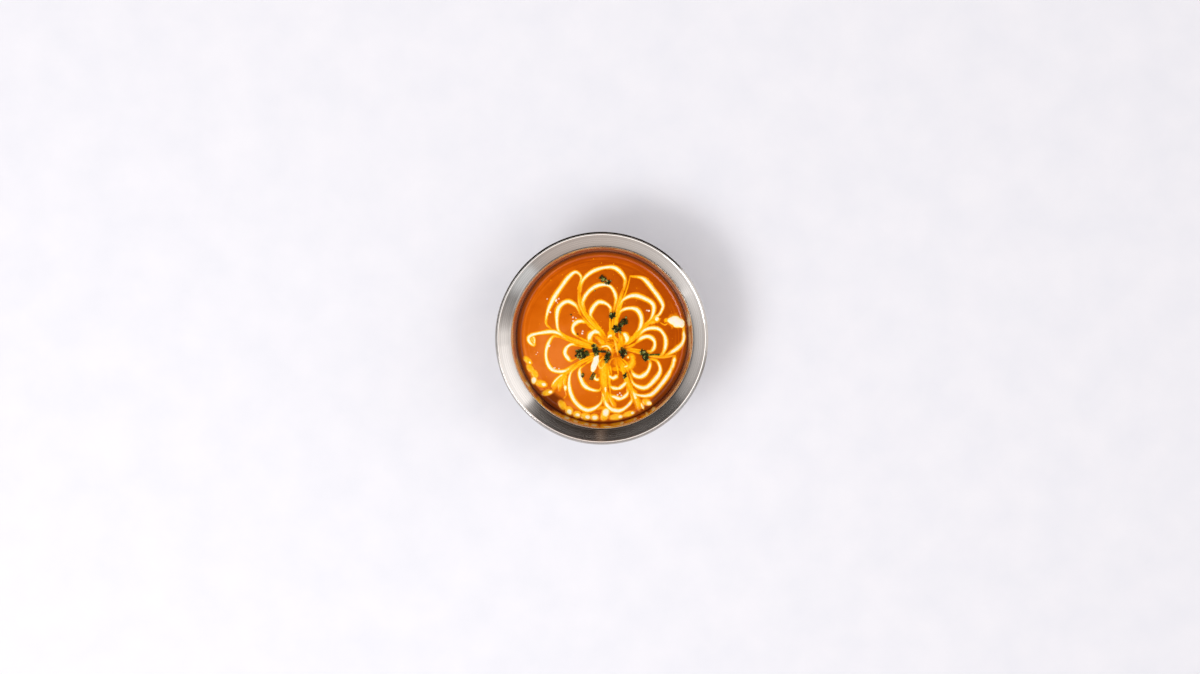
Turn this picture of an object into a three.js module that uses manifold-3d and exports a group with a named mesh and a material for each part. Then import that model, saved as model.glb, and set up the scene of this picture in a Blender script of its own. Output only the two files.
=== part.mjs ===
// Tomato soup in a spun stainless steel bowl, with a feathered cream flower and chopped herbs on it.
// Millimetres, +Z up. The origin is the middle of the bowl's flat base, on the surface it stands on.
import * as THREE from 'three';
import { mergeVertices } from 'three/addons/utils/BufferGeometryUtils.js';
import Module from 'manifold-3d';

const wasm = await Module();
wasm.setup();
const { Manifold, Mesh: SolidMesh } = wasm;

// ---- Bowl ----
const RIM_RADIUS = 70; // outside of the rolled bead
const BOWL_HEIGHT = 56;
const SHEET = 0.8; // thickness of the steel
const BEAD_RADIUS = 1.2; // the edge is rolled over into a bead
const FLANGE_END = [67.9, 54.55]; // middle of the sheet, where the sloping flange meets the bead
const SHOULDER = [59.7, 50.0]; // corner between flange and wall, rounded by SHOULDER_BEND
const SHOULDER_BEND = 6;
const BASE_CORNER = [43.9, SHEET / 2]; // corner between wall and base, rounded by BASE_BEND
const BASE_BEND = 24;
const ROUND_STEPS = 72; // facets round the bowl

// ---- Soup ----
const GAP = 0.3; // clearance between neighbouring solids
const SOUP_LEVEL = 41.8;
const MENISCUS_RISE = 0.9; // how far the soup climbs the wall
const MENISCUS_WIDTH = 2.8;
const SUNK = 0.4; // how deep a fused topping reaches into the soup
const SLIVER = 0.02; // detail finer than this is cleaned away where solids join
const WELD = 0.001; // corners closer than this are one

// ---- Cream ----
const CREAM_WIDTH = 2.2;
const CREAM_HEIGHT = 0.45;
const CREST_SHARE = 0.45; // width of a ridge's flat crest, as a share of its foot
const END_FULLNESS = 0.5; // how full a ridge still is where it ends
const UNEVENNESS = 0.12; // how far the ridges differ in height
const THREAD_WIDTH = 1.5; // a thread that a skewer stroke leaves
const THREAD_HEIGHT = 0.3;
const LINE_STEP = 3.4; // length of one facet along a line of cream
const FLOWER = [6.2, -8.3]; // middle of the cream flower

// The cream was dripped as rings, then drawn inwards along eight skewer strokes. A stroke runs from
// its outer to its inner [radius, angle] about FLOWER, bowed to the angle `half` midway.
const STROKES = {
  north: { outer: [41.5, 79.5], half: 82, inner: [12, 84] },
  northWest: { outer: [47, 117], half: 127, inner: [11.5, 121] },
  west: { outer: [43.5, 161.5], half: 165, inner: [11, 169] },
  southWest: { outer: [47, 213], half: 206.5, inner: [14, 201] },
  south: { outer: [31, 261], half: 258, inner: [11, 250] },
  southEast: { outer: [33, 295.5], half: 298, inner: [15, 302] },
  east: { outer: [43, 355.5], half: 351.5, inner: [12, 357] },
  northEast: { outer: [37, 395.5], half: 394, inner: [14, 386] },
};

// Between two strokes each ring stands as a petal line, outermost first. `clear` is its distance
// from the two strokes, and `radii` are its radius about FLOWER at the STATIONS across the petal:
// foot, shoulder, tip, shoulder, foot. A line of its own shape gives [station, radius] pairs.
const PETALS = [
  { from: 'north', to: 'northWest', lines: [
    { clear: [-0.9, 1.4], radii: [41, 54.4, 54.6, 52.6, 43.6] },
    { clear: [2.0, 1.6], radii: [26.7, 42.2, 43.8, 41.8, 31] },
    { clear: [4.0, 2.6], radii: [23.6, 31, 32.8, 30.4, 23] },
  ] },
  { from: 'northWest', to: 'west', lines: [
    { clear: [0.6, 0.8], pairs: [[0, 46], [-0.12, 52.5], [-0.07, 56.8], [0.05, 56.2], [0.24, 53.6],
      [0.5, 51.2], [0.76, 49], [0.95, 46.5], [1, 42.7]] },
    { clear: [2.4, 0.8], radii: [31, 43.5, 44.8, 40.8, 31.8] },
    { clear: [2.8, 3.0], radii: [22.4, 28, 30, 28, 23.4] },
    { clear: [0.5, 2.4], radii: [12, 16.5, 17.6, 17, 15] },
  ] },
  { from: 'west', to: 'southWest', lines: [
    { clear: [2.0, 1.6], radii: [35.6, 42.3, 43.7, 41.8, 26] },
    { clear: [2.8, 4.6], radii: [23, 29.5, 31, 29.5, 26] },
  ] },
  { from: 'southWest', to: 'south', lines: [
    { clear: [0.6, 0.6], radii: [22.5, 37.6, 42.4, 43.2, 28] },
    { clear: [2.4, 2.6], radii: [20.7, 27.5, 29.8, 29.5, 26] },
  ] },
  { from: 'south', to: 'southEast', lines: [
    { clear: [1.0, 1.2], radii: [29.8, 39.5, 40.8, 38.8, 32] },
    { clear: [4.0, 2.2], radii: [29.2, 31.5, 33, 32.3, 28] },
    { clear: [3.8, 1.2], radii: [23, 25.6, 26, 24.8, 22] },
    { clear: [4.5, 4.5], radii: [17.6, 18.2, 18.4, 18.2, 17.8] },
  ] },
  { from: 'southEast', to: 'east', lines: [
    { clear: [0.8, 0.6], radii: [25.6, 39.4, 40.2, 41.4, 41.5] },
    { clear: [2.6, 2.0], radii: [20, 33.6, 34.9, 35.2, 26] },
    { clear: [5.0, 3.0], radii: [18, 26.2, 27.8, 27.8, 25] },
  ] },
  { from: 'east', to: 'northEast', lines: [
    { clear: [1.0, 11], radii: [42.4, 46.8, 48.1, 47.4, 44.6] },
    { clear: [1.0, 1.2], radii: [30.6, 35.9, 36.6, 34.2, 18] },
    { clear: [2.6, 3.8], radii: [23.6, 28.6, 29.1, 26.7, 16.8] },
  ] },
  { from: 'northEast', to: 'north', lines: [
    { clear: [0.0, 3.4], radii: [36, 46, 49.6, 51.8, 50.5] },
    { clear: [1.2, 1.0], radii: [26, 40.8, 40.6, 38.8, 26] },
    { clear: [1.4, 2.0], radii: [17.7, 29.3, 31.6, 29.8, 22] },
  ] },
];
const STATIONS = [0.24, 0.5, 0.76]; // shoulder, tip, shoulder
const SIDE_STATION = 0.03; // a petal's sides stand nearly upright between foot and shoulder
const SIDE_SHARE = 0.55;

// The drip that ran on past the western stroke and looped back on itself, and the short curls that
// the skewer left in the middle, as their bends.
const TAIL = [[-22.4, -1.4], [-31.2, 3.5], [-40.1, 3.0], [-47.2, 1.2], [-48.9, -0.6], [-48.2, -3.2],
  [-45.2, -5.3], [-45.2, -3.2], [-46.6, -0.4]];
const CURLS = [
  [[3.9, -0.6], [5.2, 1.2], [7.1, 0.6], [8.6, -2.4], [9.6, -6.5]],
  [[13, 3.2], [15.2, 2.2], [16.7, -0.8], [16.6, -4.1]],
  [[-2.0, -6.7], [0.4, -6.1], [3.5, -5.8], [5.6, -7.8], [6.6, -9.8]],
  [[14.3, -21.4], [18.4, -20.4], [20.6, -16.6], [19.4, -11.4]],
  [[-4.0, -25.0], [-4.8, -27.0], [-3.2, -28.2], [-1.9, -26.8]],
];

// Cream that ran to the wall: [x, y, length, width, direction in degrees] of each drop.
const EDGE_DROPS = [
  [-49.5, -15.4, 6.4, 3.2, -42], [-47.7, -20.9, 5.9, 3.4, -52], [-44.9, -24.4, 5.2, 3.5, -62],
  [-45.2, -28.4, 5.1, 3.7, -95], [-40.4, -30.9, 7.2, 3.7, -15], [-36.3, -36.5, 7.2, 3.4, 14],
  [-26.4, -45.4, 6.5, 3.6, -55], [-21.8, -49.2, 5.2, 4.2, -70], [-16.5, -51.7, 4.6, 3.8, -16],
  [-11.1, -53.0, 6.0, 3.8, -12], [-5.1, -53.8, 4.8, 3.8, -5], [2.2, -51.6, 8.0, 4.4, -86],
  [9.6, -53.3, 7.6, 3.2, 6], [18.1, -51.2, 6.6, 2.8, 17], [30.3, -43.1, 5.4, 3.6, -36],
];
const DROP_HEIGHT = 0.8;

// Two gatherings of cream as large as a berry: middle, half length, half width and turn.
const CREAM_POOL = { middle: [48.2, 9.8], half: [5.4, 3.7], turn: -16 };
const CREAM_DOLLOP = { middle: [-4.5, -18.2], half: [5.4, 2.0], turn: 62 };
const BLOB_HEIGHT = 0.9;
const BLOB_POINTS = 12;
const BLOB_FOOT = 1.02; // share of the outline that the blob has below the soup
const BLOB_RINGS = [[0.97, 0.25], [0.72, 0.75], [0.35, 1]]; // share of the outline, share of the height

// ---- Chopped herbs ----
const LEAF_THICKNESS = 0.35;
const LEAF_SIZES = [2.8, 3.9];
const LEAF_POINTS = 6; // lobes and notches round one scrap of leaf
const LOBE_REACH = [0.95, 1.25]; // as shares of half the leaf's size
const NOTCH_REACH = [0.62, 0.85];
const LEAF_WAVE = 0.3;
const LEAF_TILT = 0.25; // radians
const LEAF_LIFT = [0.25, 0.75]; // height of a scrap's middle above the soup
const SCRAP_REACH = [0.4, 0.62]; // how far from a clump's middle its scraps lie, as shares of its half size
const STEM_RADIUS = 0.42;
// A clump: middle, half length, half width, turn and number of leaf scraps.
const SMALL_CLUMPS = [
  { middle: [0.4, 39], half: [2.8, 2.4], turn: -30, scraps: 3 },
  { middle: [3.9, 36.4], half: [2.2, 1.6], turn: 20, scraps: 2 },
  { middle: [7.1, 14.8], half: [2.6, 2.4], turn: 40, scraps: 4 },
  { middle: [15, 10.9], half: [2.4, 2.2], turn: 45, scraps: 3 },
  { middle: [10.8, 6.7], half: [3.0, 2.4], turn: 70, scraps: 4 },
  { middle: [14.5, -10.2], half: [3.4, 2.8], turn: 110, scraps: 5 },
  { middle: [-13.0, -25.5], half: [1.0, 1.0], turn: 0, scraps: 1 },
  { middle: [15, -26], half: [2.0, 1.1], turn: 65, scraps: 2 },
];
const LARGE_CLUMPS = {
  herb_clump_west: { middle: [-13.0, -11.3], half: [4.9, 3.7], turn: 10, scraps: 9 },
  herb_clump_inner: { middle: [-4.2, -8.6], half: [4.4, 2.6], turn: 105, scraps: 5,
    stem: [[-4.0, -8.8], [0.5, -9.9]] },
  herb_clump_centre: { middle: [3.8, -12.6], half: [4.6, 2.6], turn: 80, scraps: 5 },
  herb_sprig_east: { middle: [28.6, -11.6], half: [4.4, 2.8], turn: 120, scraps: 5,
    stem: [[29.0, -11.7], [38.4, -11.2]] },
};
// Cut stems on their own: one end, the other end.
const LOOSE_STEMS = [
  [[-8.2, -28.4], [-5.2, -23.8]],
  [[-6.6, -28.6], [-4.4, -25.2]],
];
const CLUMP_CORE = 0.75; // the pad under the scraps, as a share of the clump
const CORE_HEIGHT = 0.7;

const radians = THREE.MathUtils.degToRad;

function seeded(seed) {
  let state = seed;
  return (low, high) => {
    state = (state * 1664525 + 1013904223) % 4294967296;
    return low + (high - low) * (state / 4294967296);
  };
}

// ---- Solids ----
function solidOf(geometry) {
  const bare = geometry.clone();
  bare.deleteAttribute('normal');
  bare.deleteAttribute('uv');
  const merged = mergeVertices(bare, WELD);
  const corners = merged.index.array;
  const kept = [];
  for (let i = 0; i < corners.length; i += 3) {
    const [a, b, c] = corners.slice(i, i + 3);
    if (a !== b && b !== c && c !== a) kept.push(a, b, c);
  }
  return new Manifold(new SolidMesh({
    numProp: 3,
    vertProperties: merged.attributes.position.array,
    triVerts: new Uint32Array(kept),
  }));
}

function geometryOf(solid) {
  const { vertProperties, triVerts } = solid.getMesh();
  const geometry = new THREE.BufferGeometry();
  geometry.setAttribute('position', new THREE.BufferAttribute(vertProperties, 3));
  geometry.setIndex(new THREE.BufferAttribute(triVerts, 1));
  return geometry;
}

// The share of its usual height that the i-th ridge of cream stands at.
function uneven(i) {
  return 1 + UNEVENNESS * Math.sin(2.4 * i);
}

function join(solids) {
  return solids.reduce((whole, solid) => whole.add(solid));
}

// The outermost shell alone, without slivers: what fusing sealed in is filled, and a loose scrap
// is dropped.
function outerShell(solid) {
  const shells = solidOf(geometryOf(solid.asOriginal().simplify(SLIVER))).decompose();
  return shells.reduce((best, shell) => (shell.volume() > best.volume() ? shell : best));
}

// A closed mesh from stacked rings of as many points each: ends are fans round a ring's middle.
function skinRings(rings) {
  const size = rings[0].length;
  const points = rings.flat();
  const corners = [];
  for (let r = 0; r + 1 < rings.length; r += 1) {
    for (let i = 0; i < size; i += 1) {
      const [a, b] = [r * size + i, r * size + (i + 1) % size];
      corners.push(a, b, b + size, a, b + size, a + size);
    }
  }
  const last = (rings.length - 1) * size;
  for (let i = 1; i + 1 < size; i += 1) {
    corners.push(0, i + 1, i);
    corners.push(last, last + i, last + i + 1);
  }
  const geometry = new THREE.BufferGeometry().setFromPoints(points);
  geometry.setIndex(corners);
  return geometry;
}

function turned(profile) {
  const points = profile.map(([r, z]) => new THREE.Vector2(r, z));
  return new THREE.LatheGeometry(points, ROUND_STEPS).rotateX(Math.PI / 2);
}

// ---- Bowl ----
// Points and inward normals along the middle of the sheet, from the axis to the bead.
function sheetLine() {
  const line = [{ at: [0, SHEET / 2], inward: [0, 1] }];
  const corners = [line[0].at, BASE_CORNER, SHOULDER, FLANGE_END];
  [[1, BASE_BEND, 5, 1], [2, SHOULDER_BEND, 3, -1]].forEach(([k, bend, steps, side]) => {
    const before = new THREE.Vector2(...corners[k]).sub(new THREE.Vector2(...corners[k - 1]));
    const after = new THREE.Vector2(...corners[k + 1]).sub(new THREE.Vector2(...corners[k]));
    const turn = after.angle() - before.angle();
    const reach = bend * Math.tan(Math.abs(turn) / 2);
    const start = new THREE.Vector2(...corners[k]).addScaledVector(before.normalize(), -reach);
    const middle = start.clone().addScaledVector(new THREE.Vector2(-before.y, before.x), side * bend);
    for (let i = 0; i <= steps; i += 1) {
      const angle = before.angle() + (turn * i) / steps;
      const inward = [-Math.sin(angle), Math.cos(angle)];
      line.push({ at: [middle.x - side * bend * inward[0], middle.y - side * bend * inward[1]], inward });
    }
  });
  line.push({ at: FLANGE_END, inward: line[line.length - 1].inward });
  return line;
}

function sheetSkin(offset) {
  return sheetLine().map(({ at, inward }) => [
    Math.max(0, at[0] + inward[0] * offset), at[1] + inward[1] * offset]);
}

function beadArc() {
  const middle = [RIM_RADIUS - BEAD_RADIUS, BOWL_HEIGHT - BEAD_RADIUS];
  const arc = [];
  for (let degrees = -135; degrees <= 135; degrees += 45) {
    const angle = radians(degrees);
    arc.push([middle[0] + BEAD_RADIUS * Math.cos(angle), middle[1] + BEAD_RADIUS * Math.sin(angle)]);
  }
  return arc;
}

function bowlGeometry() {
  const under = sheetSkin(-SHEET / 2);
  const inside = sheetSkin(SHEET / 2).reverse();
  return turned([...under, ...beadArc(), ...inside]);
}

// ---- Soup ----
function soupBody() {
  const top = SOUP_LEVEL + MENISCUS_RISE;
  const skin = sheetSkin(SHEET / 2 + GAP);
  const dipped = skin.filter(([, z]) => z < top);
  const [below, above] = [dipped[dipped.length - 1], skin[dipped.length]];
  const share = (top - below[1]) / (above[1] - below[1]);
  const edge = below[0] + share * (above[0] - below[0]);
  const meniscus = [0, 0.25, 0.55, 1].map((u) => [
    edge - u * MENISCUS_WIDTH, SOUP_LEVEL + MENISCUS_RISE * (1 - u) ** 2]);
  return solidOf(turned([...dipped, ...meniscus, [0, SOUP_LEVEL]]));
}

// ---- Cream ----
function strokeAngle(stroke, radius) {
  const { outer, half, inner } = STROKES[stroke];
  const u = THREE.MathUtils.clamp((radius - inner[0]) / (outer[0] - inner[0]), -0.2, 1);
  return inner[1] * (1 - u) * (1 - 2 * u) + 4 * half * u * (1 - u) + outer[1] * u * (2 * u - 1);
}

function aboutFlower(radius, degrees) {
  const angle = radians(degrees);
  return new THREE.Vector3(
    FLOWER[0] + radius * Math.cos(angle), FLOWER[1] + radius * Math.sin(angle), SOUP_LEVEL);
}

function petalLine(petal, line) {
  const across = strokeAngle(petal.to, 40) < strokeAngle(petal.from, 40) ? 360 : 0;
  let pairs = line.pairs;
  if (!pairs) {
    const [foot, ...rest] = line.radii;
    const end = rest.pop();
    pairs = [
      [0, foot],
      [SIDE_STATION, foot + SIDE_SHARE * (rest[0] - foot)],
      ...rest.map((radius, i) => [STATIONS[i], radius]),
      [1 - SIDE_STATION, end + SIDE_SHARE * (rest[2] - end)],
      [1, end],
    ];
  }
  const knots = pairs.map(([station, radius]) => {
    const [low, high] = [strokeAngle(petal.from, radius), strokeAngle(petal.to, radius) + across];
    const [first, last] = line.clear.map((gap) => THREE.MathUtils.radToDeg(gap / radius));
    return aboutFlower(radius, low + first + (high - last - low - first) * station);
  });
  return new THREE.CatmullRomCurve3(knots);
}

function strokeLine(stroke) {
  const { outer, inner } = STROKES[stroke];
  const knots = [0, 0.25, 0.5, 0.75, 1].map((u) => {
    const radius = outer[0] + u * (inner[0] - outer[0]);
    return aboutFlower(radius, strokeAngle(stroke, radius));
  });
  return new THREE.CatmullRomCurve3(knots);
}

function bentLine(bends) {
  return new THREE.CatmullRomCurve3(bends.map(([x, y]) => new THREE.Vector3(x, y, SOUP_LEVEL)));
}

// A ridge of cream along a level curve, thin at both ends and sunk into the soup.
function ridge(curve, width, height) {
  const steps = Math.max(3, Math.round(curve.getLength() / LINE_STEP));
  const rings = [];
  for (let i = 0; i <= steps; i += 1) {
    const u = i / steps;
    const at = curve.getPointAt(u);
    const along = curve.getTangentAt(u);
    const side = new THREE.Vector3(along.y, -along.x, 0).normalize();
    const fullness = END_FULLNESS + (1 - END_FULLNESS) * Math.sqrt(Math.sin(Math.PI * u));
    const [half, crest] = [(fullness * width) / 2, fullness * height];
    const section = [[-1, -SUNK], [-CREST_SHARE, crest], [CREST_SHARE, crest], [1, -SUNK]];
    rings.push(section.map(([across, up]) =>
      at.clone().addScaledVector(side, across * half).add(new THREE.Vector3(0, 0, up))));
  }
  return solidOf(skinRings(rings));
}

// A low rounded blob: rings of a wobbling outline that draws in towards its crest.
function blob({ middle, half, turn }, height, seed) {
  const draw = seeded(seed);
  const outline = Array.from({ length: BLOB_POINTS }, () => draw(0.9, 1.08));
  const [cos, sin] = [Math.cos(radians(turn)), Math.sin(radians(turn))];
  const rings = [[BLOB_FOOT, -SUNK], ...BLOB_RINGS.map(([share, up]) => [share, up * height])];
  return solidOf(skinRings(rings.map(([share, up]) => outline.map((wobble, i) => {
    const angle = (2 * Math.PI * i) / outline.length;
    const [x, y] = [half[0] * wobble * share * Math.cos(angle), half[1] * wobble * share * Math.sin(angle)];
    return new THREE.Vector3(
      middle[0] + x * cos - y * sin, middle[1] + x * sin + y * cos, SOUP_LEVEL + up);
  }))));
}

function edgeDrop([x, y, length, width, direction]) {
  const ball = new THREE.SphereGeometry(1, 8, 4).rotateX(Math.PI / 2);
  ball.scale(length / 2, width / 2, DROP_HEIGHT).rotateZ(radians(direction));
  return solidOf(ball.translate(x, y, SOUP_LEVEL));
}

// ---- Chopped herbs ----
// A scrap of leaf: a thin wavy plate with a lobed edge, both faces split alike.
function leafScrap(size, draw) {
  const [top, bottom] = [[], []];
  for (let i = 0; i < LEAF_POINTS; i += 1) {
    const angle = (2 * Math.PI * i) / LEAF_POINTS;
    const reach = (size / 2) * draw(...(i % 2 ? NOTCH_REACH : LOBE_REACH));
    const lift = LEAF_WAVE * Math.sin(3 * angle + draw(0, 1));
    top.push(new THREE.Vector3(reach * Math.cos(angle), reach * Math.sin(angle), lift + LEAF_THICKNESS / 2));
    bottom.push(top[i].clone().setZ(lift - LEAF_THICKNESS / 2));
  }
  const points = [...top, ...bottom];
  points.push(new THREE.Vector3(0, 0, LEAF_THICKNESS / 2), new THREE.Vector3(0, 0, -LEAF_THICKNESS / 2));
  const corners = [];
  for (let i = 0; i < LEAF_POINTS; i += 1) {
    const next = (i + 1) % LEAF_POINTS;
    corners.push(2 * LEAF_POINTS, i, next);
    corners.push(2 * LEAF_POINTS + 1, LEAF_POINTS + next, LEAF_POINTS + i);
    corners.push(i, LEAF_POINTS + i, LEAF_POINTS + next, i, LEAF_POINTS + next, next);
  }
  const geometry = new THREE.BufferGeometry().setFromPoints(points);
  geometry.setIndex(corners);
  return geometry;
}

function herbClump({ middle, half, turn, scraps, stem }, seed) {
  const draw = seeded(seed);
  const core = new THREE.SphereGeometry(1, 8, 4).rotateX(Math.PI / 2);
  core.scale(half[0] * CLUMP_CORE, half[1] * CLUMP_CORE, CORE_HEIGHT);
  const pieces = [core];
  for (let i = 0; i < scraps; i += 1) {
    const angle = (2 * Math.PI * i) / scraps + draw(-0.3, 0.3);
    const reach = scraps > 1 ? draw(...SCRAP_REACH) : 0;
    const leaf = leafScrap(draw(...LEAF_SIZES), draw);
    leaf.rotateZ(draw(0, 6.28)).rotateX(draw(-LEAF_TILT, LEAF_TILT)).rotateY(draw(-LEAF_TILT, LEAF_TILT));
    leaf.translate(
      half[0] * reach * Math.cos(angle), half[1] * reach * Math.sin(angle), draw(...LEAF_LIFT));
    pieces.push(leaf);
  }
  const solids = pieces.map((piece) => solidOf(
    piece.rotateZ(radians(turn)).translate(middle[0], middle[1], SOUP_LEVEL)));
  if (stem) solids.push(cutStem(stem, GAP + CREAM_HEIGHT));
  return join(solids);
}

function cutStem([start, end], lift = 0) {
  const height = SOUP_LEVEL + STEM_RADIUS / 2 + lift;
  const curve = new THREE.LineCurve3(
    new THREE.Vector3(...start, height), new THREE.Vector3(...end, height));
  const section = new THREE.Shape().absarc(0, 0, STEM_RADIUS, 0, 2 * Math.PI);
  return solidOf(new THREE.ExtrudeGeometry(
    section, { extrudePath: curve, steps: 2, curveSegments: 3, bevelEnabled: false }));
}

// ---- Assembly ----
const steel = new THREE.MeshStandardMaterial({ color: 0xb9b4b0, roughness: 0.28, metalness: 1 });
const soup = new THREE.MeshStandardMaterial({ color: 0xc9570c, roughness: 0.3, metalness: 0 });
const cream = new THREE.MeshStandardMaterial({ color: 0xfbe6c0, roughness: 0.35, metalness: 0 });
const herb = new THREE.MeshStandardMaterial({ color: 0x33471f, roughness: 0.6, metalness: 0 });

const creamLines = PETALS.flatMap((petal) => petal.lines.map((line) => petalLine(petal, line)));
creamLines.push(bentLine(TAIL), ...CURLS.map(bentLine));
const dressedSoup = outerShell(join([
  soupBody(),
  ...creamLines.map((curve, i) => ridge(curve, CREAM_WIDTH, CREAM_HEIGHT * uneven(i))),
  ...Object.keys(STROKES).map((stroke, i) =>
    ridge(strokeLine(stroke), THREAD_WIDTH, THREAD_HEIGHT * uneven(i))),
  ...EDGE_DROPS.map(edgeDrop),
  ...SMALL_CLUMPS.map((clump, i) => herbClump(clump, 11 + i)),
  ...LOOSE_STEMS.map((stem) => cutStem(stem)),
]));
const raisedSoup = dressedSoup.translate(0, 0, GAP);

// A topping of its own, cut to lie a gap above the soup and its cream.
function restingOnSoup(solid) {
  return outerShell(solid.subtract(raisedSoup));
}

const group = new THREE.Group();
function addPart(name, geometry, material) {
  const mesh = new THREE.Mesh(geometry, material);
  mesh.name = name;
  group.add(mesh);
}

addPart('bowl', bowlGeometry(), steel);
addPart('soup', geometryOf(dressedSoup), soup);
addPart('cream_pool', geometryOf(restingOnSoup(blob(CREAM_POOL, BLOB_HEIGHT, 3))), cream);
addPart('cream_dollop', geometryOf(restingOnSoup(blob(CREAM_DOLLOP, BLOB_HEIGHT, 5))), cream);
Object.entries(LARGE_CLUMPS).forEach(([name, clump], i) => {
  addPart(name, geometryOf(restingOnSoup(herbClump(clump, 41 + i))), herb);
});

export default group;
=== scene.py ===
"""Tomato soup in a spun stainless steel bowl, with a feathered cream flower and chopped herbs on it.

Metres, +Z up. The origin is the middle of the bowl's flat base, and +Y points to the top of the flower.
Sizes are given in millimetres and turned to metres where a mesh is made.
"""

import math
import random

import bmesh
import bpy
import numpy as np
from mathutils import Matrix, Vector


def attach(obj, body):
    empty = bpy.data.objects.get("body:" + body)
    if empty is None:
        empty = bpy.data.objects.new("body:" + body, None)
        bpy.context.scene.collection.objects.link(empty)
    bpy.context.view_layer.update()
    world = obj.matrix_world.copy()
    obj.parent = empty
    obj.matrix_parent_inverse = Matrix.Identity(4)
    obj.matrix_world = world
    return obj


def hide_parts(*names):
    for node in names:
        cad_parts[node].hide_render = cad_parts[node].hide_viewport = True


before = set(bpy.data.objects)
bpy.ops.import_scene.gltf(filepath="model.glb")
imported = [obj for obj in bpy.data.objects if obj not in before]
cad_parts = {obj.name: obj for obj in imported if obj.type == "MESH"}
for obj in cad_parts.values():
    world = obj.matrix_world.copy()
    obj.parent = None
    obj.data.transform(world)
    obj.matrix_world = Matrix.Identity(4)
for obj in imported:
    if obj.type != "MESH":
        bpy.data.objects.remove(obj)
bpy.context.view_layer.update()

MM = 0.001

# ---- Bowl ----
# A point of the profile is its radius and its height.
RIM_RADIUS = 70.0
BOWL_HEIGHT = 56.0
SHEET = 0.8  # thickness of the steel
BEAD_RADIUS = 1.2  # the edge is rolled over into a bead
FLANGE_END = (67.9, 54.55)  # middle of the sheet, where the sloping flange meets the bead
FLANGE_BOW = 0.04  # the flange flattens slightly towards its edge
FLANGE_SHARES = (0.25, 0.5, 0.75, 0.985, 1.0)  # where the flange has points, from shoulder to bead
SHOULDER = (59.7, 50.0)  # corner between flange and wall, rounded by SHOULDER_BEND
SHOULDER_BEND = 6.0
SHOULDER_STEPS = 20
BASE_CORNER = (43.9, SHEET / 2)  # corner between wall and base, rounded by BASE_BEND
BASE_BEND = 24.0
BASE_STEPS = 18
SPIN_STEPS = 256
WELD = 0.001  # corners closer than this are one

# The bead: where its round underside has points, in degrees, and its crest, as how far in from the rim
# and how far below its top each point lies.
BEAD_UNDERSIDE = range(-135, 1, 15)
BEAD_STEP = 0.12  # between points on the crest's curve
BEAD_CREST = [(0.03, 1.1), (0.1, 1.03), (0.4, 0.74), (0.7, 0.46), (1.0, 0.19), (1.2, 0.06), (1.4, 0.0),
              (1.62, 0.0), (1.76, 0.03), (1.95, 0.11), (2.3, 0.24), (2.37, 0.34), (2.39, 0.85)]

# Between these radii the brushed finish turns to the bead's mirror.
MIRROR_FROM, MIRROR_TO = 67.4, 67.8

# What the soup left on the wall inside: a film up to DULL_TOP and splashes up to SPLASH_TOP, which fade
# out over a height, and brown stains on the side where soup ran down, by that side's middle and reach in
# degrees and the power that shapes how they fade to both sides.
DULL_TOP, DULL_FADE = 49.7, 2.2
SPLASH_TOP, SPLASH_FADE, SPLASH_STRENGTH = 47.6, 3.2, 0.85
STAIN_MIDDLE, STAIN_REACH, STAIN_POWER = 270, 70, 0.8
INSIDE_MARGIN = 0.2  # how far behind the inner skin a corner still counts as inside

# ---- Soup ----
GAP = 0.3  # clearance to the bowl
SOUP_LEVEL = 41.8
SKIN_STEP = 0.36  # the skin steps up this much towards the wall, between these distances from it
STEP_FROM, STEP_TO = 3.4, 1.9
MENISCUS_RISE = 0.55
MENISCUS_WIDTH = 0.45
SOUP_CELLS = 270  # cells along each side of the soup's surface
# How far from the wall the rings of its edge lie.
EDGE_RINGS = (*np.linspace(STEP_FROM, STEP_TO, 9)[1:], 1.3, *np.linspace(MENISCUS_WIDTH, 0, 6))
HIDDEN_STEP = 3  # below its edge the soup has every third ring of the bowl's profile
LAST_RING = 1  # and inside this radius one face
SMOOTH_EDGE = 1.0  # so near the wall the relief of the cream fades out

# The soup is painted paler round PALE_MIDDLE and in the direction of PALE_WAY, partly painted light and
# sheen from the key light on that side and partly cream stirred in, and deeper in its outer part.
BASE_TONE = 0.45
PALE_MIDDLE, PALE_REACH, PALER = (-26, -12), 20, 0.35
PALE_WAY, PALE_FALL = (-0.8, -0.6), 130
OUTER_FROM, OUTER_OVER, DEEPER = 40, 14, 0.25

# Where the soup is painted brown beside the wall, partly oil and partly painted shade from the wall:
# angle, how wide the band is and how strong.
BROWN_BAND = [
    (0, 1.9, 0.5), (16, 2.0, 0.5), (60, 2.2, 0.5), (120, 2.4, 0.52), (150, 3.2, 0.58), (180, 3.8, 0.62),
    (195, 3.8, 0.6), (206, 2.4, 0.5), (221, 2.8, 0.6), (225, 9.0, 0.9), (238, 9.4, 0.9), (243, 2.8, 0.5),
    (248, 1.8, 0.3), (290, 1.8, 0.35), (302, 3.6, 0.65), (312, 4.8, 0.8), (327, 4.6, 0.8), (335, 2.6, 0.76),
    (348, 2.2, 0.6), (360, 1.9, 0.5),
]

# ---- Cream ----
CREAM_WIDTH = 2.1
CREAM_HEIGHT = 0.35
THREAD_WIDTH = 1.3
THREAD_HEIGHT = 0.22
THREAD_STRENGTH = 0.62
THREAD_GAP = 0.9  # from one thread of a bed to the next
LINE_REACH = 1.3  # how far from its middle a line changes the soup, in widths
AMBER = 0.66  # strength of cream that has mixed to amber; whole cream has 1
FLOWER = (6.2, -8.3)  # middle of the cream flower

# Eight skewer strokes: the outer [radius, angle] about FLOWER, the angle midway, the inner [radius, angle].
STROKES = {
    "north": ((41.5, 79.5), 82, (12, 84)),
    "northWest": ((47, 117), 127, (11.5, 121)),
    "west": ((43.5, 161.5), 165, (11, 169)),
    "southWest": ((47, 213), 206.5, (14, 201)),
    "south": ((31, 261), 258, (11, 250)),
    "southEast": ((33, 295.5), 298, (15, 302)),
    "east": ((43, 355.5), 351.5, (12, 357)),
    "northEast": ((37, 395.5), 394, (14, 386)),
}

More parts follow.
